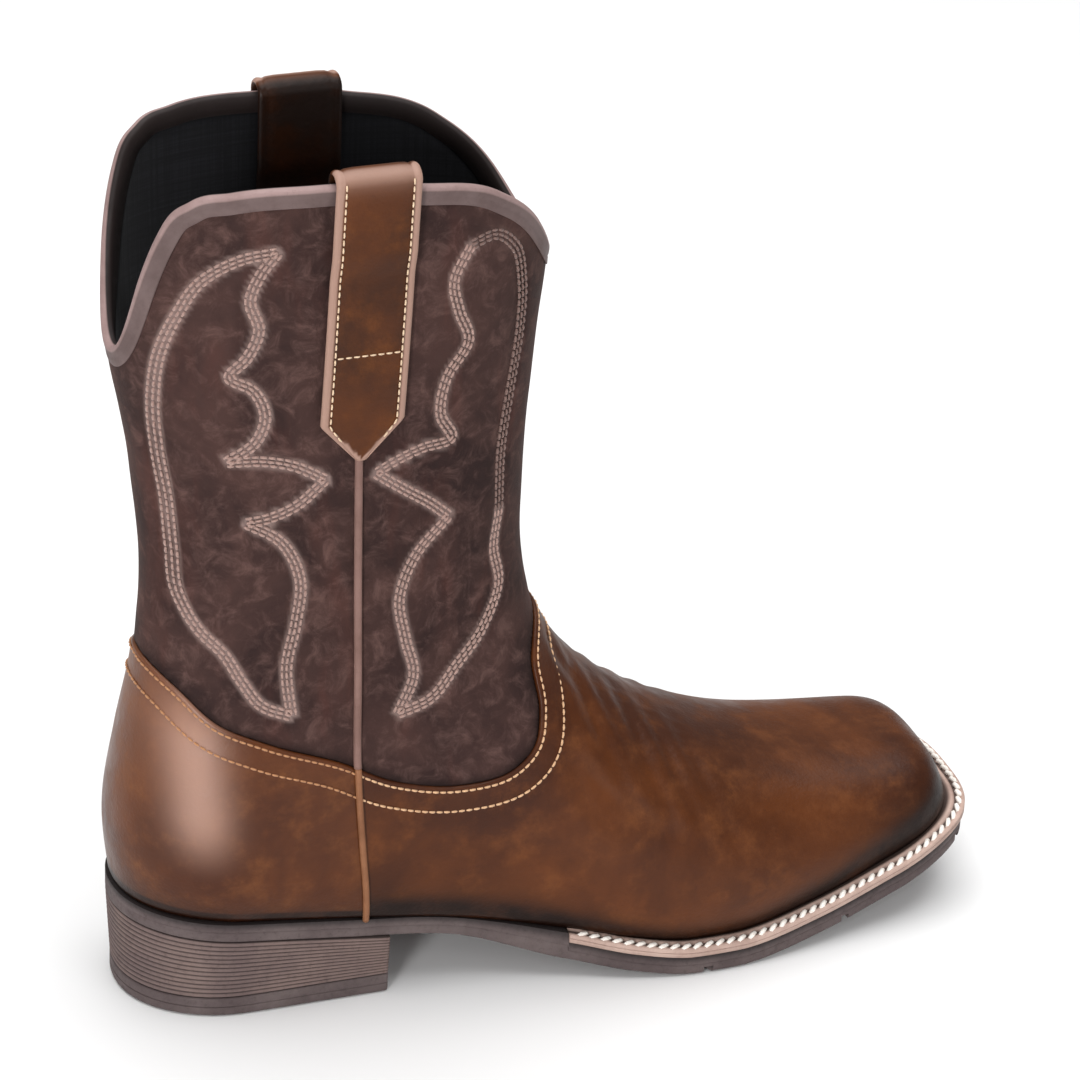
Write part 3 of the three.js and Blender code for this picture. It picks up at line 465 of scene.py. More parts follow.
def seam_share(r, side):
    """Column share of the side seam on rows r."""
    found = []
    for row in np.atleast_1d(r):
        s = np.linspace(0, 0.5, 160) if side == LATERAL else np.linspace(1, 0.5, 160)
        line = sample(skin_grid, s, np.full(s.shape, row))
        found.append(np.interp(0, line[:, 0] - seam_at(line[:, 2]), s))
    return np.array(found)


# Meshes

def signed_volume(vertices, faces):
    a, b, c = vertices[faces[:, 0]], vertices[faces[:, 1]], vertices[faces[:, 2]]
    volume = np.sum(a * np.cross(b, c))
    if faces.shape[1] == 4:
        d = vertices[faces[:, 3]]
        volume += np.sum(a * np.cross(c, d))
    return volume


def add_object(name, form):
    """Mesh object in metres, from vertices in millimetres and faces that are turned outwards."""
    vertices, faces = form
    if sum(signed_volume(vertices, f) for f in faces) < 0:
        faces = [f[:, ::-1] for f in faces]
    mesh = bpy.data.meshes.new(name)
    mesh.from_pydata((vertices * MM).tolist(), [], [row for f in faces for row in f.tolist()])
    added = bpy.data.objects.new(name, mesh)
    bpy.context.scene.collection.objects.link(added)
    return added


def make_piece(name, form, material, replaces=(), sharp=None, tone=None):
    """Piece riding on the boot, with a per-point tone for its material."""
    piece = add_object(name, form)
    mesh = piece.data
    mesh.polygons.foreach_set("use_smooth", [True] * len(mesh.polygons))
    if tone is not None:
        values = mesh.attributes.new("tone", "FLOAT", "POINT")
        values.data.foreach_set("value", np.asarray(tone, np.float32).ravel())
    if sharp is not None:
        mesh.set_sharp_from_angle(angle=math.radians(sharp))
    mesh.materials.append(material)
    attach(piece, "root")
    if replaces:
        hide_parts(*replaces)
    return piece


def loft(sections, closed):
    """Skin over sections of equally many points; a section is a closed ring, and an open loft is capped."""
    sections = np.asarray(sections, float)
    count, width = sections.shape[:2]
    grid = np.arange(count * width).reshape(count, width)
    ahead = np.roll(grid, -1, axis=0)
    if not closed:
        grid, ahead = grid[:-1], ahead[:-1]
    faces = [np.stack([grid, np.roll(grid, -1, 1), np.roll(ahead, -1, 1), ahead], axis=-1).reshape(-1, 4)]
    if not closed:
        i = np.arange(width // 2 - 1)
        cap = np.stack([i, width - 1 - i, width - 2 - i, i + 1], axis=1)
        faces.append(cap)
        faces.append(cap[:, ::-1] + (count - 1) * width)
    return sections.reshape(-1, 3), faces


def wobble(points, size, seed):
    """Slow unevenness of hand-lasted leather."""
    x, y, z = (points[..., k] / size for k in range(3))
    return (np.sin(x * 1.3 + 0.7 * y + seed) * np.cos(z * 1.1 - 0.5 * x + 2 * seed)
            + 0.5 * np.sin(2.3 * z + 1.1 * y + 3 * seed) * np.sin(1.9 * x + seed))


# Stitches

STITCH_SIDES = 5
# Rings of a stitch: share of its length from the middle, share of its radius
STITCH_RINGS = [(-0.5, 0.0), (-0.42, 0.75), (0.0, 1.0), (0.42, 0.75), (0.5, 0.0)]


def stitch_row(points, pitch, length, radius, lift=0.0, slant=0.0, normals=None):
    """Stitches along a line on the surface: short rounded bars, one to each pitch."""
    points = np.asarray(points, float)
    normals = normals_near(points) if normals is None else normals
    at = lengths_along(points)
    count = max(1, int(round(at[-1] / pitch)))
    centres_at = (np.arange(count) + 0.5) * at[-1] / count
    pick = lambda values, where: np.stack([np.interp(where, at, values[:, k]) for k in range(3)], axis=1)
    centre = pick(points, centres_at)
    tangent = unit(pick(points, centres_at + 0.5) - pick(points, centres_at - 0.5))
    normal = unit(pick(normals, centres_at))
    aside = unit(np.cross(normal, tangent))
    tangent = unit(tangent + slant * aside)
    aside = unit(np.cross(normal, tangent))
    local = []
    for along, swell in STITCH_RINGS:
        arch = lift + radius * (0.35 - 1.6 * along * along)
        for k in range(STITCH_SIDES if swell else 1):
            turn = 2 * math.pi * k / STITCH_SIDES
            around = swell * radius * math.cos(turn), swell * radius * math.sin(turn) + arch
            local.append((along * length, *around))
    local = np.array(local)
    vertices = (centre[:, None] + tangent[:, None] * local[None, :, :1] + aside[:, None] * local[None, :, 1:2]
                + normal[:, None] * local[None, :, 2:])
    tips, quads = [], []
    last = len(local) - 1
    for k in range(STITCH_SIDES):
        after = (k + 1) % STITCH_SIDES
        tips.append((0, 1 + after, 1 + k))
        tips.append((last, last - STITCH_SIDES + k, last - STITCH_SIDES + after))
        for ring in range(2):
            a = 1 + ring * STITCH_SIDES
            quads.append((a + k, a + after, a + STITCH_SIDES + after, a + STITCH_SIDES + k))
    offsets = (np.arange(count) * len(local))[:, None, None]
    return (vertices.reshape(-1, 3), (offsets + np.array(tips)).reshape(-1, 3),
            (offsets + np.array(quads)).reshape(-1, 4))


def join_stitches(rows):
    starts = np.cumsum([0] + [len(row[0]) for row in rows])
    faces = [np.concatenate([row[k] + start for row, start in zip(rows, starts)]) for k in (1, 2)]
    return np.concatenate([row[0] for row in rows]), faces


# Materials

def colour(red, green, blue):
    """Screen colour, 0 to 255, as the shader's linear one."""
    linear = [(c / 255 / 12.92 if c / 255 <= 0.04045 else ((c / 255 + 0.055) / 1.055) ** 2.4)
              for c in (red, green, blue)]
    return (*linear, 1.0)


def darker(tint, share):
    return tuple(share * c for c in tint[:3]) + (1.0,)


class Finish:
    """Small helper around one material's nodes."""

    def __init__(self, name, **sockets):
        self.material = bpy.data.materials.new(name)
        self.material.use_nodes = True
        self.tree = self.material.node_tree
        self.tree.nodes.clear()
        self.shader = self.tree.nodes.new("ShaderNodeBsdfPrincipled")
        output = self.tree.nodes.new("ShaderNodeOutputMaterial")
        self.tree.links.new(self.shader.outputs["BSDF"], output.inputs["Surface"])
        self.place = self.tree.nodes.new("ShaderNodeTexCoord").outputs["Object"]
        for socket, value in sockets.items():
            self.shader.inputs[socket.replace("_", " ")].default_value = value

    def node(self, kind, inputs, output, **settings):
        node = self.tree.nodes.new(kind)
        for key, value in settings.items():
            setattr(node, key, value)
        for key, value in inputs.items():
            if isinstance(value, bpy.types.NodeSocket):
                self.tree.links.new(value, node.inputs[key])
            else:
                node.inputs[key].default_value = value
        return node.outputs[output]

    def stretched(self, scale):
        return self.node("ShaderNodeMapping", {"Vector": self.place, "Scale": scale}, "Vector")

    def noise(self, scale, detail=4.0, rough=0.55, vector=None, distortion=0.0):
        inputs = {"Vector": vector or self.place, "Scale": scale, "Detail": detail, "Roughness": rough,
                  "Distortion": distortion}
        return self.node("ShaderNodeTexNoise", inputs, "Fac")

    def cells(self, scale):
        inputs = {"Vector": self.place, "Scale": scale}
        return self.node("ShaderNodeTexVoronoi", inputs, "Distance", feature="SMOOTH_F1")

    def tone(self):
        return self.node("ShaderNodeAttribute", {}, "Fac", attribute_name="tone")

    def product(self, a, b):
        return self.node("ShaderNodeMath", {0: a, 1: b}, "Value", operation="MULTIPLY")

    def fade(self, value, low, high, to_low=0.0, to_high=1.0):
        inputs = {"Value": value, "From Min": low, "From Max": high, "To Min": to_low, "To Max": to_high}
        return self.node("ShaderNodeMapRange", inputs, "Result", interpolation_type="SMOOTHSTEP")

    def mix(self, factor, a, b):
        node = self.tree.nodes.new("ShaderNodeMix")
        node.data_type = "RGBA"
        for socket, value in ((node.inputs[0], factor), (node.inputs[6], a), (node.inputs[7], b)):
            if isinstance(value, bpy.types.NodeSocket):
                self.tree.links.new(value, socket)
            else:
                socket.default_value = value
        return node.outputs[2]

    def layer(self, base, value, low, high, amount, tint):
        """A tint over the base, growing to its amount as a value runs from low to high."""
        return self.mix(self.fade(value, low, high, 0.0, amount), base, tint)

    def bump(self, value, strength, distance, under=None):
        inputs = {"Height": value, "Strength": strength, "Distance": distance * MM}
        if under is not None:
            inputs["Normal"] = under
        return self.node("ShaderNodeBump", inputs, "Normal")

    def set(self, socket, value):
        self.tree.links.new(value, self.shader.inputs[socket])

    def normal(self, value):
        self.set("Normal", value)


def oiled_leather(name, deep, main, light, grain=1.0, gloss=0.42, polish=0.05, wear_and_painted_highlight=None):
    """Smooth full-grain leather: clouded colour, darker where tone is below 0 (painted shade on the counter),
    paler where tone is above 0 (painted highlight on the counter and the strap's fold, worn border on the
    strap's edges).
    """
    finish = Finish(name, Specular_IOR_Level=0.18, Coat_Weight=polish, Coat_Roughness=0.25)
    clouds = finish.noise(16, 5, 0.6, distortion=0.4)
    mottle = finish.noise(75, 6, 0.65)
    specks = finish.noise(420, 3, 0.7)
    base = finish.layer(deep, clouds, 0.32, 0.68, 1.0, main)
    base = finish.layer(base, mottle, 0.45, 0.85, 0.75, light)
    base = finish.layer(base, specks, 0.56, 0.75, 0.25, deep)
    tone = finish.tone()
    # Darker below tone 0: on the counter this is painted shade along the sole
    darkening_and_painted_shade = finish.product(finish.fade(tone, 0.0, -1.0), finish.fade(mottle, 0.25, 0.6, 0.7, 1.0))
    base = finish.mix(darkening_and_painted_shade, base, darker(deep, 0.22))
    # Paler above tone 0: painted highlight on the counter and the strap's fold, a worn border on the strap's
    # edges
    finish.set("Base Color", finish.layer(base, tone, 0.0, 1.0, 1.0, wear_and_painted_highlight or light))
    rough = finish.fade(mottle, 0.3, 0.7, gloss - 0.06, gloss + 0.12)
    finish.set("Roughness", rough)
    pebble = finish.cells(950)
    fine = finish.noise(2600, 3, 0.6)
    pull = finish.noise(190, 5, 0.6)
    normal = finish.bump(pull, 0.35 * grain, 0.5)
    normal = finish.bump(pebble, 0.45 * grain, 0.12, normal)
    finish.normal(finish.bump(fine, 0.3 * grain, 0.06, normal))
    return finish.material


def nubuck(name, deep, main, light):
    """Matt brushed leather with a nap that lies in patches."""
    finish = Finish(name, Sheen_Weight=0.08, Sheen_Roughness=0.45, Sheen_Tint=colour(170, 140, 130),
                    Specular_IOR_Level=0.16)
    clouds = finish.noise(22, 5, 0.6, distortion=0.8)
    nap = finish.noise(130, 6, 0.7, distortion=0.6)
    streaks = finish.noise(60, 4, 0.6, vector=finish.stretched((1.0, 1.0, 0.25)))
    base = finish.layer(deep, clouds, 0.3, 0.7, 1.0, main)
    base = finish.layer(base, nap, 0.42, 0.8, 0.8, light)
    base = finish.layer(base, streaks, 0.5, 0.8, 0.35, colour(88, 48, 40))
    tone = finish.tone()
    base = finish.layer(base, tone, 0.0, -1.0, 0.75, darker(deep, 0.35))
    finish.set("Base Color", finish.layer(base, tone, 0.0, 1.0, 0.85, colour(150, 128, 122)))
    finish.set("Roughness", finish.fade(nap, 0.3, 0.7, 0.72, 0.9))
    hairs = finish.noise(1700, 5, 0.75)
    normal = finish.bump(finish.noise(260, 5, 0.65), 0.5, 0.35)
    finish.normal(finish.bump(hairs, 0.55, 0.12, normal))
    return finish.material


def rubber(name, main, dust):
    finish = Finish(name, Specular_IOR_Level=0.35)
    clouds = finish.noise(26, 5, 0.65)
    grit = finish.noise(520, 5, 0.75)
    tone = finish.tone()
    base = finish.layer(main, clouds, 0.35, 0.72, 0.7, dust)
    base = finish.layer(base, grit, 0.5, 0.8, 0.55, darker(main, 0.45))
    base = finish.layer(base, tone, 0.0, -1.0, 0.85, darker(main, 0.2))
    finish.set("Base Color", finish.layer(base, tone, 0.0, 1.0, 0.9, dust))
    finish.set("Roughness", finish.fade(grit, 0.3, 0.7, 0.62, 0.85))
    normal = finish.bump(finish.noise(90, 4, 0.5), 0.25, 0.4)
    finish.normal(finish.bump(grit, 0.4, 0.12, normal))
    return finish.material


def textile(name, main, light):
    finish = Finish(name, Sheen_Weight=0.08, Sheen_Roughness=0.5, Specular_IOR_Level=0.2)
    scales = ((1400, 20, 20), (20, 20, 1400))
    yarns = [finish.noise(1.0, 1.0, 0.5, finish.stretched(scale)) for scale in scales]
    weave = finish.product(*yarns)
    finish.set("Base Color", finish.layer(main, weave, 0.15, 0.45, 1.0, light))
    finish.shader.inputs["Roughness"].default_value = 0.92
    finish.normal(finish.bump(weave, 0.6, 0.25))
    return finish.material


def plain_leather(name, main, dark, rough=0.6, shade=0.2):
    """Welt, binding and piping: plain at tone 0, dark at -1."""
    finish = Finish(name, Specular_IOR_Level=0.25)
    clouds = finish.noise(60, 5, 0.65)
    grit = finish.noise(700, 4, 0.7)
    base = finish.layer(main, clouds, 0.35, 0.75, 0.6, dark)
    base = finish.layer(base, grit, 0.52, 0.8, 0.4, dark)
    finish.set("Base Color", finish.layer(base, finish.tone(), 0.0, -1.0, 0.95, darker(dark, shade)))
    finish.set("Roughness", finish.fade(clouds, 0.3, 0.7, rough - 0.08, rough + 0.1))
    finish.normal(finish.bump(grit, 0.35, 0.12))
    return finish.material


def thread(name, main, dark):
    finish = Finish(name, Sheen_Weight=0.15)
    fuzz = finish.noise(1500, 4, 0.7)
    finish.set("Base Color", finish.layer(main, fuzz, 0.4, 0.75, 0.6, dark))
    finish.shader.inputs["Roughness"].default_value = 0.7
    finish.normal(finish.bump(fuzz, 0.5, 0.1))
    return finish.material


vamp_leather = oiled_leather("vamp_leather", colour(57, 26, 10), colour(88, 45, 16), colour(114, 65, 30))
counter_leather = oiled_leather("counter_leather", colour(64, 29, 9), colour(94, 49, 18), colour(118, 70, 34),
                                gloss=0.36, polish=0.12, wear_and_painted_highlight=colour(186, 146, 128))
strap_leather = oiled_leather("strap_leather", colour(50, 23, 7), colour(82, 41, 12), colour(106, 59, 21),
                              grain=1.4, gloss=0.5, wear_and_painted_highlight=colour(156, 124, 110))
shaft_leather = nubuck("shaft_leather", colour(35, 21, 20), colour(64, 43, 39), colour(98, 74, 69))
lining_cloth = textile("lining_cloth", colour(5, 5, 8), colour(14, 14, 18))
insole_cloth = textile("insole_cloth", colour(40, 36, 34), colour(74, 66, 60))
binding_leather = plain_leather("binding_leather", colour(150, 126, 123), colour(112, 90, 87), shade=0.03)
piping_leather = plain_leather("piping_leather", colour(128, 98, 90), colour(92, 66, 58))
foot_piping_leather = plain_leather("foot_piping_leather", colour(140, 94, 64), colour(98, 60, 38), 0.5)
welt_leather = plain_leather("welt_leather", colour(190, 164, 152), colour(142, 114, 104))
sole_rubber = rubber("sole_rubber", colour(76, 64, 64), colour(106, 94, 92))
heel_rubber = rubber("heel_rubber", colour(96, 80, 78), colour(128, 108, 101))
shaft_thread = thread("shaft_thread", colour(160, 130, 120), colour(116, 88, 80))
faint_thread = thread("faint_thread", colour(116, 90, 82), colour(84, 62, 58))
foxing_thread = thread("foxing_thread", colour(214, 172, 132), colour(168, 122, 84))
counter_thread = thread("counter_thread", colour(178, 126, 84), colour(126, 82, 50))
strap_thread = thread("strap_thread", colour(224, 196, 164), colour(176, 140, 108))
welt_thread = thread("welt_thread", colour(246, 240, 232), colour(206, 188, 176))


# Stitched lines of the shaft, in side view: x from the back of the heel, height. Both sides carry them.
SHAFT_MOTIF = {
    "back_outer": [(44.9, 287.7), (33.3, 285.5), (21.8, 278), (14.5, 264.1), (10.5, 250), (9.5, 232),
                   (11.5, 212), (14.5, 194), (16.5, 175), (18.5, 158.3), (24.5, 146.1), (32, 138),
                   (37, 129), (43.1, 120.5), (52.8, 116.4)],
    "back_inner": [(44.9, 287.7), (39.5, 280), (36.5, 271), (39.5, 260), (36, 250), (31, 243), (38.5, 238),
                   (42.5, 228), (40, 219), (31, 210.8)],
    "bar_upper": [(31, 210.8), (42, 211.5), (52, 209.5), (63, 203.6)],
    "leaf_lower": [(63, 203.6), (53, 194), (45, 190), (37.8, 188)],
    "loop_inner": [(37.8, 188), (48.5, 181.5), (55.5, 166.8), (54.5, 150), (51.5, 134), (52.8, 116.4)],
    "front_inner": [(110.2, 281.4), (104.5, 270), (106.9, 258.2), (111, 247), (103.5, 234.5), (102, 221),
                    (106.5, 211.5), (96, 210.2), (86, 207), (79.7, 203.8)],
    "front_outer": [(110.2, 281.4), (119, 283), (127.5, 276), (131.5, 262), (132, 243), (129.5, 222), (127, 200),
                    (127.4, 177)],
    "front_leaf": [(79.7, 203.8), (90, 196), (99.4, 189), (107, 182)],
    "front_loop_inner": [(107, 182), (95.5, 170.5), (89.8, 155.1), (92.2, 139), (95, 126), (89.5, 112)],
    "front_loop_outer": [(89.5, 112), (100.6, 115.8), (110.6, 126), (121.5, 136.5), (128.3, 149), (125.8, 164),
                         (127.4, 177)],
}
MOTIF_ROWS = (-1.5, 0.0, 1.5)
MOTIF_PITCH = 2.7
FAINT_LINES = ("front_outer",)


def parallel(path, offset):
    """Line beside a side-view path, at a distance to its left."""
    run = unit(np.gradient(path, axis=0))
    return path + offset * np.stack([-run[:, 1], run[:, 0]], axis=1)


def motif_lines(side, faint):
    lines = []
    for name, points in SHAFT_MOTIF.items():
        if (name in FAINT_LINES) != faint:
            continue
        moved = [(x + HEEL_BACK, z) for x, z in points]
        path = smooth_path(moved, 0.8)
        for offset in MOTIF_ROWS:
            flat = parallel(path, offset)
            inside = rounding(flat[:, 0], flat[:, 1]) < 0.995
            lines.append(on_side(flat[inside, 0], flat[inside, 1], side))
    return lines


shaft_lines = motif_lines(LATERAL, False) + motif_lines(MEDIAL, False)
faint_lines = motif_lines(LATERAL, True) + motif_lines(MEDIAL, True)


# Shaft and lining

SHAFT_COLUMNS = 300
SHAFT_HIDDEN_ROWS = 8
SHAFT_SEEN_ROWS = 190
SHAFT_SEEN_FROM = 0.26
SHAFT_INNER_ROWS = 12
LINING_COLUMNS = 180
LINING_ROWS = 60
LINING_THICKNESS = 0.9
LEATHER_UNDER_OVERLAY = 1.9
QUILT_DEPTH = 0.6
QUILT_WIDTH = 1.5
BAND_WIDTH = 1.15


def lining_inside(points):
    """Depth of the lining's inner face under the outer form."""
    return -WALL - RECESS * (1 - ease(1.0, 1.5, points[..., 2] / INSTEP_HEIGHT))


def make_shaft():
    s = np.linspace(0, 1, SHAFT_COLUMNS, endpoint=False)[:, None]
    seen = np.linspace(SHAFT_SEEN_FROM, 1, SHAFT_SEEN_ROWS)
    rows = np.concatenate([np.linspace(0, SHAFT_SEEN_FROM, SHAFT_HIDDEN_ROWS)[:-1], seen])[None, :]
    places = skin(s, rows)
    over = above_foxing(places[..., 0], places[..., 2])
    lift = -LEATHER_UNDER_OVERLAY * (1 - ease(-1.5, 0.5, over))
    to_bold = nearest(places, tree_of(np.concatenate(shaft_lines)))[1]
    to_faint = nearest(places, tree_of(np.concatenate(faint_lines)))[1]
    quilt = np.exp(-(np.minimum(to_bold, to_faint) / QUILT_WIDTH) ** 2)
    bold, faint = np.exp(-(to_bold / BAND_WIDTH) ** 2), np.exp(-(to_faint / BAND_WIDTH) ** 2)
    puff = 0.30 * wobble(places, 21, 1.0) + 0.12 * wobble(places, 8, 2.0)
    lift = lift + np.where(over > 0, ease(0, 12, over) * puff - QUILT_DEPTH * quilt, 0)
    outer = skin(s, rows, lift)
    # Paler along the stitched bands; darker just above the overlays' edge, a painted shadow of that edge; -1
    # under the overlays and inside
    tone = np.where(over > 0, 0.75 * bold + 0.25 * faint - 0.75 * np.exp(-(over / 3.2) ** 2), -1.0)
    inner_rows = np.linspace(1, 0, SHAFT_INNER_ROWS)[None, :]
    under = skin(s, inner_rows)
    inner = skin(s, inner_rows, lining_inside(under) + LINING_THICKNESS + 0.1)
    sections = np.concatenate([outer, inner], axis=1)
    tones = np.concatenate([tone, np.full(inner.shape[:2], -1.0)], axis=1)
    make_piece("shaft", loft(sections, closed=True), shaft_leather, ("upper",), tone=tones)


def make_lining():
    s = np.linspace(0, 1, LINING_COLUMNS, endpoint=False)[:, None]
    rows = np.linspace(0, 1, LINING_ROWS)[None, :]
    places = skin(s, rows)
    inside = lining_inside(places)
    ripple = 0.35 * wobble(places, 17, 4.0)
    inner = skin(s, rows, inside + np.minimum(0.2, ripple) - 0.1)
    outer = skin(s, rows[:, ::-1], inside[:, ::-1] + LINING_THICKNESS)
    form = loft(np.concatenate([inner, outer], axis=1), closed=True)
    make_piece("lining", form, lining_cloth, ("upper",))


# Vamp and counter

OVERLAY_PROUD = 0.9
OVERLAY_RIM = 1.0
OVERLAY_TOP = 0.82
VAMP_COLUMNS = 330
COUNTER_COLUMNS = 210
OVERLAY_ROWS = 84
RIM_STEPS = 4
SEAM_STEP = 0.0004
# Rows of the skin at which the side seams and the overlays' upper edge are looked for
test_rows = np.linspace(0, OVERLAY_TOP, 170)
lateral_seam = seam_share(test_rows, LATERAL)
medial_seam = seam_share(test_rows, MEDIAL)

# Creases across the vamp, in side view, on both sides: points, depth and width
VAMP_CREASES = [
    ([(158, 109), (161, 99), (165.5, 87), (171, 77)], 0.9, 3.0),
    ([(166, 103), (170, 92), (175, 80), (180, 69)], 0.7, 2.6),
    ([(176, 96), (178.5, 86), (182, 74), (188, 60)], 1.1, 3.4),
    ([(187, 88), (189, 78), (193, 66), (200, 53)], 0.9, 3.2),
    ([(198, 80), (200, 70), (204, 59), (211, 46)], 0.6, 3.0),
    ([(150, 88), (155, 77), (162, 66), (171, 56)], 0.6, 3.4),
    ([(112, 62), (130, 57), (150, 50), (168, 41)], 0.5, 4.0),
    ([(150, 121), (153, 112), (158, 103)], 0.7, 2.6),
]


def crease_relief(places):
    relief = np.zeros(places.shape[:-1])
    for points, depth, width in VAMP_CREASES:
        path = smooth_path([(x + HEEL_BACK, z) for x, z in points], 1.5)
        kept = path[rounding(path[:, 0], path[:, 1]) < 0.99]
        for side in (LATERAL, MEDIAL):
            line = on_side(kept[:, 0], kept[:, 1], side)
            fade = np.sin(np.linspace(0.12, 1, len(line)) * np.pi * 0.94)
            index, distance = nearest(places, tree_of(line))
            ridge = 0.45 * np.exp(-((distance - 2.1 * width) / width) ** 2)
            relief -= depth * fade[index] * (np.exp(-(distance / width) ** 2) - ridge)
    return relief


def unevenness(places):
    return 0.22 * wobble(places, 24, 6.0)


def overlay(name, share_from, share_to, columns, material, node, creased, tone_of):
    """Leather laid over the shaft's foot, from the sole's edge up to the foxing line."""
    across = np.linspace(0, 1, columns)[:, None]

    def column_at(r):
        return lerp(np.interp(r, test_rows, share_from), np.interp(r, test_rows, share_to), across)
    places = sample(skin_grid, column_at(test_rows[None, :]), test_rows[None, :])
    over = above_foxing(places[..., 0], places[..., 2])
    below = np.array([np.max(np.nonzero(line <= 0)[0]) for line in over])
    below = np.minimum(below, len(test_rows) - 2)
    low = over[np.arange(columns), below]
    high = over[np.arange(columns), below + 1]
    step = test_rows[1] - test_rows[0]
    top = (test_rows[below] + step * low / (low - high))[:, None]
    edge_step = np.linalg.norm(sample(skin_grid, column_at(top), top)
                               - sample(skin_grid, column_at(top - step), top - step), axis=-1) / step
    inset = np.minimum(OVERLAY_RIM / edge_step, 0.05)
    main = np.linspace(0, 1, OVERLAY_ROWS)[None, :] * (top - inset)
    turn = np.linspace(0, math.pi / 2, RIM_STEPS + 1)[None, 1:]
    rim = top - inset * (1 - np.sin(turn))
    rim_lift = np.broadcast_to(OVERLAY_PROUD - OVERLAY_RIM * (1 - np.cos(turn)), rim.shape)
    main_places = skin(column_at(main), main)
    lift = OVERLAY_PROUD + unevenness(main_places)
    if creased:
        lift = lift + crease_relief(main_places)
    lift = lerp(0.2, lift, ease(0.0, 0.03, main))
    rim_lift = rim_lift + unevenness(skin(column_at(rim), rim))
    outer = skin(column_at(main), main, lift)
    edge = skin(column_at(rim), rim, rim_lift)
    inner = skin(column_at(main[:, ::-1]), main[:, ::-1], np.full(main.shape, -OVERLAY))
    tone = tone_of(main_places)
    tones = np.concatenate([tone, np.broadcast_to(tone[:, -1:], rim.shape), tone[:, ::-1]], axis=1)
    form = loft(np.concatenate([outer, edge, inner], axis=1), closed=False)
    make_piece(name, form, material, (node,), tone=tones)


def vamp_tone(places):
    """Darker towards the welt, at the toe's foot and at the waist's foot; a little paler on top, a painted
    highlight.
    """
    x, z = places[..., 0], places[..., 2]
    rise = z - feather(x)
    low = np.exp(-(rise / 9) ** 2) * 0.9
    toe = ease(0.70, 0.98, share_along(x)) * np.exp(-((rise - 4) / 16) ** 2) * 0.9
    waist = (1 - ease(0.42, 0.62, share_along(x))) * np.exp(-(rise / 20) ** 2) * 0.5
    # Painted highlight: the vamp's top a little paler
    crown = ease(0.45, 0.6, share_along(x)) * ease(46, 62, z) * 0.12
    return np.clip(-low - toe - waist + crown, -1, 1)


# Place and reach of the counter's painted highlight, a paler band in the leather's colour
PAINTED_HIGHLIGHT_DEPTH = 20.5
PAINTED_HIGHLIGHT_REACH = 12


def counter_tone(places):
    """Painted shade, dark along the sole, and a painted highlight, a paler band on the heel's rounding."""
    x, z = places[..., 0], places[..., 2]
    rise = z - feather(x)
    shadow = 1.0 - ease(3.0, 5.5, rise)
    lean = 0.08 * (z - INSTEP_HEIGHT)
    painted_highlight = np.exp(-((x - HEEL_BACK - PAINTED_HIGHLIGHT_DEPTH + lean) / PAINTED_HIGHLIGHT_REACH) ** 2)
    painted_highlight = painted_highlight * ease(50, 82, z) * (1 - 0.5 * ease(104, 128, z))
    return np.clip(-shadow - 0.55 * np.exp(-(rise / 10) ** 2) + 0.56 * painted_highlight, -1, 1)


# Binding, piping and straps

BEAD = 1.9
BINDING_LEG = 5.4
BINDING_OUTER_TONE = -0.57


def make_binding():
    s = np.linspace(0, 1, 420, endpoint=False)
    ones = np.ones_like(s)
    edge = skin(s, ones)
    normal = skin_normal(s, ones)
    tangent = unit(np.roll(edge, -1, 0) - np.roll(edge, 1, 0))
    up = unit(np.cross(normal, tangent))
    up = up * np.where(up[:, 2:] < 0, -1, 1)
    middle = -WALL / 2
    profile = [(middle + BEAD - 0.3, -BINDING_LEG), (middle + BEAD - 0.1, -BINDING_LEG + 0.3),
               (middle + BEAD - 0.1, -3.2), (middle + BEAD - 0.25, -2.6), (middle + BEAD, -1.9),
               (middle + BEAD + 0.1, -0.6)]
    for angle in np.linspace(10, 170, 9):
        turn = math.radians(angle)
        profile.append((middle + 1.05 * BEAD * math.cos(turn), BEAD * 0.7 * math.sin(turn)))
    profile += [(middle - BEAD, -1.0), (middle - BEAD, -BINDING_LEG)]
    inner = WALL / 2 + 0.15
    profile += [(middle - inner, -BINDING_LEG), (middle - inner, -1.0), (middle, 0.3), (middle + inner, -1.0),
                (middle + inner, -BINDING_LEG)]
    sections = np.stack([edge + normal * n + up * b for n, b in profile], axis=1)
    # Pale on the rolled bead, shaft-coloured down the outer leg, near black down the inner leg: painted shade
    # inside the collar
    tones = []
    for n, b in profile:
        outer_leg = BINDING_OUTER_TONE if n > middle else -1.0
        tones.append(0.0 if b > -0.5 and n > middle - 0.2 else outer_leg)
    make_piece("collar_edge", loft(sections, closed=True), binding_leather, ("collar_binding",),
               tone=np.broadcast_to(tones, sections.shape[:2]))


def tube(line, normals, radius, sides=10):
    tangent = unit(np.gradient(line, axis=0))
    aside = unit(np.cross(normals, tangent))
    turns = 2 * np.pi * np.arange(sides) / sides
    rounded = np.cos(turns)[:, None, None] * aside + np.sin(turns)[:, None, None] * normals
    return (line + radius * rounded).transpose(1, 0, 2)


def make_piping(side):
    bottom = float(feather(seam_at(0))) + 0.6
    top = STRAP_TIP + 4
    z = np.linspace(bottom, top, 150)
    x = seam_at(z)
    line = on_side(x, z, side)
    normals = normals_near(line)
    over = above_foxing(x, z)
    line = line + normals * (0.5 + OVERLAY_PROUD * (1 - ease(-0.5, 2.5, over)))[:, None]
    split = int(np.argmax(over > 0.5))
    word = SIDE_WORDS[side]
    for part, keep, material, radius in (("foot", slice(0, split + 1), foot_piping_leather, 1.2),
                                         ("shaft", slice(split, None), piping_leather, 1.4)):
        form = loft(tube(line[keep], normals[keep], radius), closed=False)
        make_piece(f"side_piping_{part}_{word}", form, material, (f"side_piping_{word}",),
                   tone=np.zeros(len(form[0])))


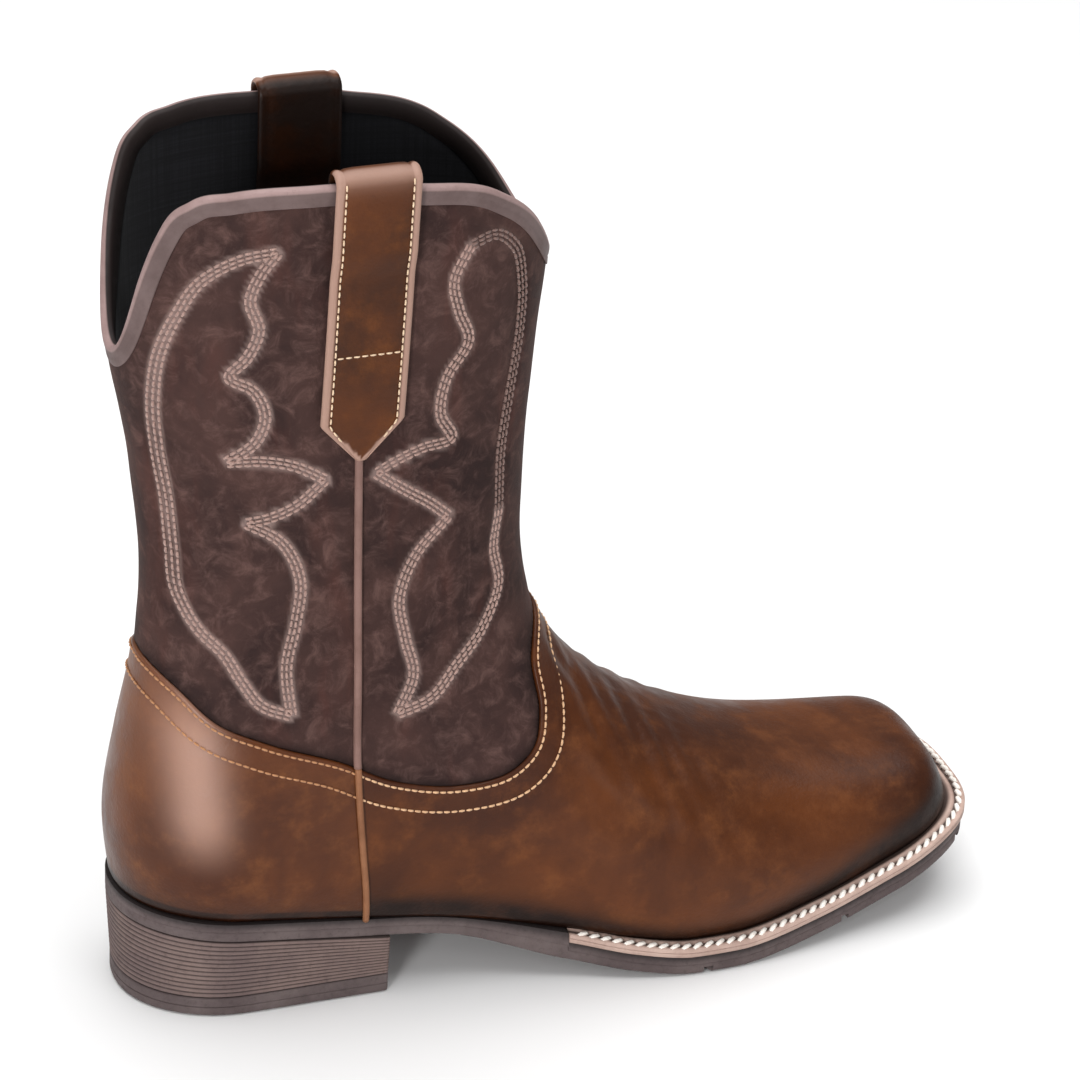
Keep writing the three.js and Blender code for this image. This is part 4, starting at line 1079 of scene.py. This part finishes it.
STRAP_HALF = STRAP_WIDTH / 2
STRAP_FROM_EDGE = np.array([0.0, 0.2, 0.6, 1.2, 1.9, 2.5, 3.1, 4.2, 7.0, 10.5, STRAP_HALF])
STRAP_SHARES = np.concatenate([STRAP_FROM_EDGE / STRAP_HALF - 1, 1 - STRAP_FROM_EDGE[-2::-1] / STRAP_HALF])
STRAP_ACROSS = len(STRAP_SHARES)
STRAP_INSET = 3.1
STRAP_BORDER = 2.6
# Pitch, length and radius of its stitches, and the height of the row across it
STRAP_STITCH = (2.7, 2.1, 0.34)
STRAP_CROSS_ROW = 249.5


def strap_frame(side):
    """Middle sheet of a pull strap: along it from the tip, over the collar and down inside; and across."""
    collar_z = SHAFT_HEIGHT - 6
    over_binding = 2 * FOLD_GAP + BINDING
    fold_z = collar_z + 7
    outside = lambda z: lerp(FOLD_GAP, over_binding, ease(collar_z - 26, collar_z - 16, z))
    middle = -WALL / 2
    tip_length = STRAP_WIDTH / 2 - 1
    rows = []
    for z in np.linspace(STRAP_TIP, fold_z, 80):
        half = lerp(1.8, STRAP_WIDTH / 2, min(1.0, (z - STRAP_TIP) / tip_length))
        rows.append((z, outside(z) + STRAP / 2, half))
    wide = outside(fold_z) + WALL / 2 + STRAP / 2
    for angle in np.linspace(0, math.pi, 24)[1:-1]:
        z = fold_z + (STRAP_TOP - STRAP / 2 - fold_z) * math.sin(angle)
        rows.append((z, middle + wide * math.cos(angle), STRAP_WIDTH / 2))
    for z in np.linspace(fold_z, STRAP_INNER_END, 34):
        rows.append((z, -WALL - outside(z) - STRAP / 2, STRAP_WIDTH / 2))
    across = STRAP_SHARES
    sheet = []
    for z, grow, half in rows:
        x = seam_at(STRAP_TIP) + STRAP_LEAN[side] * (z - STRAP_TIP) + across * half
        y = side * half_width(x, np.full_like(x, z), side, grow)
        sheet.append(np.stack([x, y, np.full_like(x, z)], axis=1))
    return np.array(sheet)


def sheet_normals(sheet):
    along = np.gradient(sheet, axis=0)
    across = np.gradient(sheet, axis=1)
    return unit(np.cross(along, across))


def make_strap(side):
    sheet = strap_frame(side)
    normals = sheet_normals(sheet)
    if normals[10, STRAP_ACROSS // 2, 1] * side < 0:
        normals = -normals
    half = STRAP / 2
    share = STRAP_SHARES
    from_edge = (1 - np.abs(share)) * STRAP_WIDTH / 2
    crown = half * np.sqrt(np.clip(from_edge / 1.0, 0.0, 1.0)) + 0.35 * ease(0, 7, from_edge)
    crown = crown - 0.4 * np.exp(-((from_edge - STRAP_INSET) / 0.9) ** 2)
    top = sheet + normals * crown[None, :, None]
    low = half * np.sqrt(np.clip(from_edge / 1.0, 0.0, 1.0))
    bottom = (sheet - normals * low[None, :, None])[:, ::-1][:, 1:-1]
    sections = np.concatenate([top, bottom], axis=1)
    rise = sheet[:, 0, 2]
    widths = np.linalg.norm(sheet[:, -1] - sheet[:, 0], axis=1)
    real_edge = (1 - np.abs(share))[None, :] * widths[:, None] / 2
    edge_tone = 1 - ease(STRAP_BORDER - 0.5, STRAP_BORDER + 0.3, real_edge)
    crest = int(np.argmax(rise))
    # Painted highlight: paler across the fold at the strap's top; the pale edges are its worn border
    painted_fold_highlight = 0.75 * np.exp(-((np.arange(len(rise)) - crest + 4) / 7.0) ** 2)
    inside = ease(crest - 2, crest + 8, np.arange(len(rise)))[:, None]
    tone_top = np.clip(lerp(edge_tone + painted_fold_highlight[:, None], -1, inside), -1, 1)
    tone_low = np.full((len(sheet), STRAP_ACROSS - 2), -0.6)
    word = SIDE_WORDS[side]
    make_piece(f"strap_{word}", loft_strip(sections), strap_leather, (f"pull_strap_{word}",),
               tone=np.concatenate([tone_top, tone_low], axis=1))
    rows = []
    stop = int(np.argmax(rise > STRAP_TOP - 3))
    for sign in (-1, 1):
        inner = 1 - STRAP_INSET / (STRAP_WIDTH / 2)
        column = float(np.interp(sign * inner, STRAP_SHARES, np.arange(STRAP_ACROSS)))
        line = sheet_line(sheet, normals, np.full(stop - 6, column), np.arange(6, stop), half + 0.1)
        rows.append(stitch_row(line[0], *STRAP_STITCH, normals=line[1]))
    level = float(np.interp(STRAP_CROSS_ROW, rise[:stop], np.arange(stop)))
    columns = np.interp(np.linspace(-0.76, 0.76, 40), STRAP_SHARES, np.arange(STRAP_ACROSS))
    line = sheet_line(sheet, normals, columns, np.full(len(columns), level), half + 0.42)
    rows.append(stitch_row(line[0], *STRAP_STITCH, normals=line[1]))
    make_piece(f"strap_stitching_{word}", join_stitches(rows), strap_thread)


def sheet_line(sheet, normals, columns, rows, lift):
    """Points and normals along a line of a sheet, by column and row numbers."""
    c0 = np.clip(np.floor(columns).astype(int), 0, sheet.shape[1] - 2)
    r0 = np.clip(np.floor(rows).astype(int), 0, sheet.shape[0] - 2)
    fc, fr = (columns - c0)[:, None], (rows - r0)[:, None]

    def pick(grid):
        low = lerp(grid[r0, c0], grid[r0, c0 + 1], fc)
        return lerp(low, lerp(grid[r0 + 1, c0], grid[r0 + 1, c0 + 1], fc), fr)
    normal = unit(pick(normals))
    return pick(sheet) + normal * lift, normal


def loft_strip(sections):
    """Loft of strap sections whose cap joins top and bottom points across the thickness."""
    count, width = sections.shape[:2]
    vertices, faces = loft(sections, closed=False)
    across = (width + 2) // 2
    quads, ends = [], []
    for k in range(across - 1):
        a, b = k, k + 1
        d = (width - k) % width
        e = width - k - 1
        if k == 0:
            ends.append((a, b, e))
        elif k == across - 2:
            ends.append((a, b, d))
        else:
            quads.append((a, b, e, d))
    quads, ends = np.array(quads), np.array(ends)
    last = (count - 1) * width
    return vertices, [faces[0], quads[:, ::-1], ends[:, ::-1], quads + last, ends + last]


# Sole, welt and heel

def plan(x, side, reach):
    """Half width of a sole layer that stands a reach past the upper's lower edge."""
    n = squareness(x)
    toe = np.maximum(0, 1 - (TOE_END + reach - x) / (TOE_SOLE_RADIUS + reach / 2))
    back = np.maximum(0, 1 - (x - (back_at(HEEL_SEAT_HEIGHT) - reach)) / (HEEL_SOLE_RADIUS + reach / 2))
    half = half_last(x, side) - TUCK + reach
    return side * half * np.maximum(0, 1 - toe ** n - back ** HEEL_ROUNDNESS) ** (1 / n)


WELT_X = HEEL_BACK + WELT_START
BREAST_X = HEEL_BACK + HEEL_LENGTH


def sole_reach(x):
    return SOLE_EDGE * edge_at(share_along(x))


def sole_underside(x):
    return feather(x) - GAP - OUTSOLE - (WELT + GAP) * ease(WELT_X - WAIST_RUN, WELT_X, x)


def applied(piece):
    """Modifiers of a piece turned into its mesh."""
    graph = bpy.context.evaluated_depsgraph_get()
    mesh = bpy.data.meshes.new_from_object(piece.evaluated_get(graph))
    piece.modifiers.clear()
    piece.data = mesh


def cut_grooves(piece, lines, length, underside):
    """Square grooves along lines: share of the length from the back, share of half the ball width."""
    for line in lines:
        path = smooth_path([(HEEL_BACK + a * length, b * BALL_WIDTH / 2) for a, b in line], 2.5)
        aside = unit(np.gradient(path, axis=0))[:, ::-1] * (-1, 1) * GROOVE_WIDTH / 2
        floor = underside(path[:, 0])
        corners = ((1, -2), (-1, -2), (-1, GROOVE_DEPTH), (1, GROOVE_DEPTH))
        sections = [np.column_stack([path + side * aside, floor + rise]) for side, rise in corners]
        bar = add_object("groove_cutter", loft(np.stack(sections, axis=1), closed=False))
        cut = piece.modifiers.new("groove", "BOOLEAN")
        cut.operation = "DIFFERENCE"
        cut.object = bar
        cut.solver = "EXACT"
        bpy.context.view_layer.update()
        applied(piece)
        bpy.data.objects.remove(bar)
    piece.data.set_sharp_from_angle(angle=math.radians(38))


# Fine line round the outsole's edge: share of its height, depth
SOLE_EDGE_LINE = [(0.45, 0.0), (0.52, 0.35), (0.59, 0.0)]


def make_outsole():
    start = float(back_at(HEEL_SEAT_HEIGHT)) - float(sole_reach(HEEL_BACK))
    end = TOE_END + SOLE_EDGE
    back_run = lerp(start, WELT_X - GAP, (1 - np.cos(np.pi * np.linspace(0, 1, 90) / 2)))
    front_run = lerp(WELT_X - GAP + 0.4, end, np.sin(np.pi * np.linspace(0, 1, 130) / 2))
    stations = np.concatenate([back_run, front_run])
    sections = []
    for x in stations:
        reach = float(sole_reach(x))
        top = float(feather(x)) - GAP - (WELT + GAP if x > WELT_X - GAP else 0)
        low = float(sole_underside(x))
        section = []
        for side in (LATERAL, MEDIAL):
            half = float(plan(x, side, reach))
            soft = side * min(1.0, abs(half))
            angles = [math.radians(turn) for turn in (90, 60, 30, 0)]
            run = [(x, half - soft * (1 - math.cos(a)), low + 1 - math.sin(a)) for a in angles]
            run += [(x, half - soft * inset, lerp(low, top, share)) for share, inset in SOLE_EDGE_LINE]
            run.append((x, half, top))
            section += run if side == LATERAL else run[::-1]
        sections.append(section)
    sections = np.array(sections)
    tones = np.zeros(sections.shape[:2])
    # Painted shade: the top edge, under the upper, dark
    tones[:, 7:9] = -1.0
    piece = make_piece("sole_plate", loft(sections, closed=False), sole_rubber, ("outsole",),
                       tone=tones)
    cut_grooves(piece, SOLE_GROOVES, LAST_LENGTH, sole_underside)


# Welt section: reach past the upper's edge, height above its underside, tone; the dark tones are painted shade
# along its lower edge, in the side groove, in the stitch channel and against the upper
WELT_REACH = SOLE_EDGE + WELT_PROUD
WELT_PROFILE = [
    (WELT_REACH - 0.5, 0.0, -0.3), (WELT_REACH, 0.5, -0.1), (WELT_REACH, 1.7, 0.0),
    (WELT_REACH - 0.25, 1.9, -0.4), (WELT_REACH, 2.1, 0.0), (WELT_REACH, 3.0, 0.0),
    (WELT_REACH - 0.5, 3.55, 0.2),
    (4.9, 3.6, 0.1), (4.5, 3.25, -0.5), (3.2, 3.15, -0.9), (2.8, 3.55, -0.3), (2.1, 4.0, 0.0),
    (1.3, 4.2, -0.5), (0.5, 3.9, -1.0), (-WELT_LIP, 3.55, -1.0), (-WELT_LIP, 0.0, -1.0),
]


def welt_line(reach, lift, count=260):
    """Line of the welt from its outer end round the toe to its inner end."""
    share = np.sin(np.pi * np.linspace(0, 1, count) / 2)
    x = lerp(WELT_X, TOE_END + reach, share)
    widths = np.maximum(0.0, reach + (SOLE_EDGE * edge_at(share_along(x)) - SOLE_EDGE) * (reach > 0))
    widths = np.where(share >= 1, reach, widths)
    z = feather(x) - GAP - WELT + lift
    outer = np.column_stack([x, plan(x, -1, widths if reach > 0 else np.full_like(x, reach)), z])
    inner = np.column_stack([x, plan(x, 1, widths if reach > 0 else np.full_like(x, reach)), z])
    return np.concatenate([outer, inner[::-1][1:]])


def make_welt():
    lines = [welt_line(reach, height_above) for reach, height_above, _ in WELT_PROFILE]
    sections = np.stack(lines, axis=1)
    tones = np.broadcast_to([t for _, _, t in WELT_PROFILE], sections.shape[:2])
    make_piece("welt_strip", loft(sections, closed=False), welt_leather, ("welt",), sharp=50, tone=tones)
    line = welt_line(4.3, 3.4, 500)[6:-6]
    normals = unit(unit(line - line.mean(0)) * (0.8, 0.8, 0.0) + (0.0, 0.0, 1.0))
    row = stitch_row(line, 4.1, 4.3, 1.05, lift=0.2, slant=0.62, normals=normals)
    make_piece("welt_stitching", join_stitches([row]), welt_thread)


HEEL_REACH = SOLE_EDGE * LAST_SECTIONS[0, 5]
HEEL_RIBS = 13
HEEL_RIB_DEPTH = 0.55
# Outlines of the heel's lift from the floor up: inset, height
LIFT_RINGS = [(1.1, 0.0), (0.5, 0.15), (0.15, 0.6), (0.0, 1.2), (0.0, 3.2), (0.35, 3.5), (0.0, 3.8),
              (0.0, LIFT - 0.4), (0.4, LIFT)]


def heel_outline(inset, z_at, count=46):
    reach = HEEL_REACH - inset
    start = float(back_at(HEEL_SEAT_HEIGHT)) - reach
    stations = lerp(start, BREAST_X - 1.2, 1 - np.cos(np.pi * np.linspace(0, 1, count) / 2))
    corner = np.array([BREAST_X - 0.4, BREAST_X - 0.02])
    drawn = np.array([0.25, 1.0])
    sides = []
    for side in (-1, 1):
        line = [(x, float(plan(x, side, reach))) for x in stations]
        line += [(x, float(plan(x, side, reach)) - side * d) for x, d in zip(corner, drawn)]
        sides.append(np.array([(x, y, float(z_at(x))) for x, y in line]))
    return np.concatenate([sides[0], sides[1][::-1][:-1]])


def stacked(outlines):
    """Body of stacked outlines with flat ends joined across in strips."""
    rings = np.array(outlines)
    count, width = rings.shape[:2]
    grid = np.arange(count * width).reshape(count, width)
    walls = np.stack([grid[:-1], np.roll(grid, -1, 1)[:-1], np.roll(grid, -1, 1)[1:], grid[1:]], axis=-1)
    quads, ends = [], [(0, width - 1, 1)]
    for k in range(1, (width - 1) // 2):
        quads.append((k, width - k, width - k - 1, k + 1))
    quads, ends = np.array(quads), np.array(ends)
    top = (count - 1) * width
    return rings.reshape(-1, 3), [walls.reshape(-1, 4), quads, ends, quads[:, ::-1] + top, ends[:, ::-1] + top]


def make_heel():
    low = LIFT + GAP
    top_at = lambda x: sole_underside(x) - GAP
    outlines, tones = [], []

    def ring(share, inset, tone):
        taper = lerp(HEEL_TAPER, 0, share)
        outlines.append(heel_outline(taper + inset, lambda x: lerp(low, top_at(x), share)))
        tones.append(np.full(len(outlines[-1]), tone))
    for rib in range(HEEL_RIBS):
        ring(rib / HEEL_RIBS, HEEL_RIB_DEPTH, -0.9)
        ring((rib + 0.22) / HEEL_RIBS, 0.08, 0.0)
        ring((rib + 0.5) / HEEL_RIBS, 0.0, 0.35 if rib % 3 == 1 else 0.1)
        ring((rib + 0.78) / HEEL_RIBS, 0.08, 0.0)
    ring(1.0, HEEL_RIB_DEPTH, -0.9)
    make_piece("heel_block", stacked(outlines), heel_rubber, ("heel_stack",), sharp=60,
               tone=np.concatenate(tones))
    form = stacked([heel_outline(HEEL_TAPER + inset, lambda x, z=z: z) for inset, z in LIFT_RINGS])
    piece = make_piece("top_lift", form, sole_rubber, ("heel_lift",),
                       tone=np.zeros(len(form[0])))
    cut_grooves(piece, HEEL_GROOVES, HEEL_LENGTH, np.zeros_like)


def finish_insole():
    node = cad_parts["insole"]
    node.data.materials.clear()
    node.data.materials.append(insole_cloth)


# Foxing stitches

FOXING_ROWS = (1.7, 9.3)


def foxing_line(inset, back):
    """Line on the surface beside the overlays' upper edge, from one side seam to the other."""
    path = parallel(smooth_path(foxing_path, 0.4), -inset)
    behind = path[:, 0] < seam_at(path[:, 1])
    path = path[behind] if back else path[~behind]
    inside = rounding(path[:, 0], path[:, 1]) < 0.9995
    path = path[inside]
    halves = [on_side(path[:, 0], path[:, 1], side) for side in (LATERAL, MEDIAL)]
    return np.concatenate([halves[0][::-1], halves[1]] if back else [halves[0], halves[1][::-1]])


def make_foxing_stitches():
    for name, back, material in (("vamp_stitching", False, foxing_thread),
                                 ("counter_stitching", True, counter_thread)):
        rows = []
        for inset in FOXING_ROWS:
            line = foxing_line(inset, back)
            normals = normals_near(line)
            rows.append(stitch_row(line + normals * (OVERLAY_PROUD + 0.05), 2.6, 2.3, 0.45, normals=normals))
        make_piece(name, join_stitches(rows), material)


def make_shaft_stitches():
    for name, lines, material in (("shaft_stitching", shaft_lines, shaft_thread),
                                  ("shaft_stitching_faint", faint_lines, faint_thread)):
        rows = [stitch_row(line, MOTIF_PITCH, MOTIF_PITCH * 0.9, 0.58, lift=-0.4) for line in lines]
        make_piece(name, join_stitches(rows), material)


make_shaft()
make_lining()
overlay("vamp_overlay", lateral_seam + SEAM_STEP, medial_seam - SEAM_STEP, VAMP_COLUMNS, vamp_leather,
        "vamp", True, vamp_tone)
overlay("counter_overlay", lateral_seam - SEAM_STEP, medial_seam - 1 + SEAM_STEP, COUNTER_COLUMNS,
        counter_leather, "counter", False, counter_tone)
make_binding()
for boot_side in (LATERAL, MEDIAL):
    make_piping(boot_side)
    make_strap(boot_side)
make_outsole()
make_welt()
make_heel()
finish_insole()
make_foxing_stitches()
make_shaft_stitches()


# Floor, light and camera

def make_floor():
    mesh = bpy.data.meshes.new("floor")
    size = 4.0
    corners = [(-size, -size, 0), (size, -size, 0), (size, size, 0), (-size, size, 0)]
    mesh.from_pydata(corners, [], [(0, 1, 2, 3)])
    floor = bpy.data.objects.new("floor", mesh)
    floor.location.z = -0.0003
    bpy.context.scene.collection.objects.link(floor)
    finish = Finish("floor_paint")
    finish.shader.inputs["Base Color"].default_value = (0.86, 0.86, 0.86, 1)
    finish.shader.inputs["Roughness"].default_value = 0.9
    mesh.materials.append(finish.material)


def area_light(name, place, aim, size, power):
    lamp = bpy.data.lights.new(name, "AREA")
    lamp.shape = "RECTANGLE"
    lamp.size, lamp.size_y = size
    lamp.energy = power
    light = bpy.data.objects.new(name, lamp)
    bpy.context.scene.collection.objects.link(light)
    light.location = place
    light.rotation_mode = "QUATERNION"
    light.rotation_quaternion = (Vector(aim) - Vector(place)).to_track_quat("-Z", "Y")


def make_world():
    world = bpy.data.worlds.new("studio")
    world.use_nodes = True
    background = world.node_tree.nodes["Background"]
    background.inputs["Color"].default_value = (1, 1, 1, 1)
    background.inputs["Strength"].default_value = 0.26
    bpy.context.scene.world = world
    bpy.context.scene.view_settings.view_transform = "Standard"


CAMERA_AZIMUTH = -20.05
CAMERA_ELEVATION = 28.7
CAMERA_DISTANCE = 1.737
CAMERA_ROLL = 2.56
CAMERA_LENS = 114 * 1.5
CAMERA_FOCUS = Vector((0.0901, 0.0, 0.1448))


def make_camera():
    camera_data = bpy.data.cameras.new("camera")
    camera = bpy.data.objects.new("camera", camera_data)
    bpy.context.scene.collection.objects.link(camera)
    azimuth, elevation = math.radians(CAMERA_AZIMUTH), math.radians(CAMERA_ELEVATION)
    back = Vector((math.sin(azimuth) * math.cos(elevation), -math.cos(azimuth) * math.cos(elevation),
                   math.sin(elevation)))
    camera.location = CAMERA_FOCUS + back * CAMERA_DISTANCE
    aim = Vector((0.106, 0.0, 0.150))
    turn = (aim - camera.location).to_track_quat("-Z", "Y").to_matrix().to_4x4()
    camera.matrix_world = (Matrix.Translation(camera.location) @ turn
                           @ Matrix.Rotation(math.radians(CAMERA_ROLL), 4, "Z"))
    camera_data.sensor_width = 36
    camera_data.lens = CAMERA_LENS
    camera_data.clip_start, camera_data.clip_end = 0.05, 20
    bpy.context.scene.camera = camera


make_floor()
make_world()
area_light("top", (0.15, 0.25, 1.9), (0.1, 0.2, 0.0), (2.2, 2.2), 52)
area_light("side", (-0.98, -1.28, 0.42), (0.0, 0.0, 0.10), (0.32, 0.8), 18)
area_light("front", (0.9, -1.6, 0.9), (0.12, 0.0, 0.1), (0.9, 0.9), 5)
make_camera()
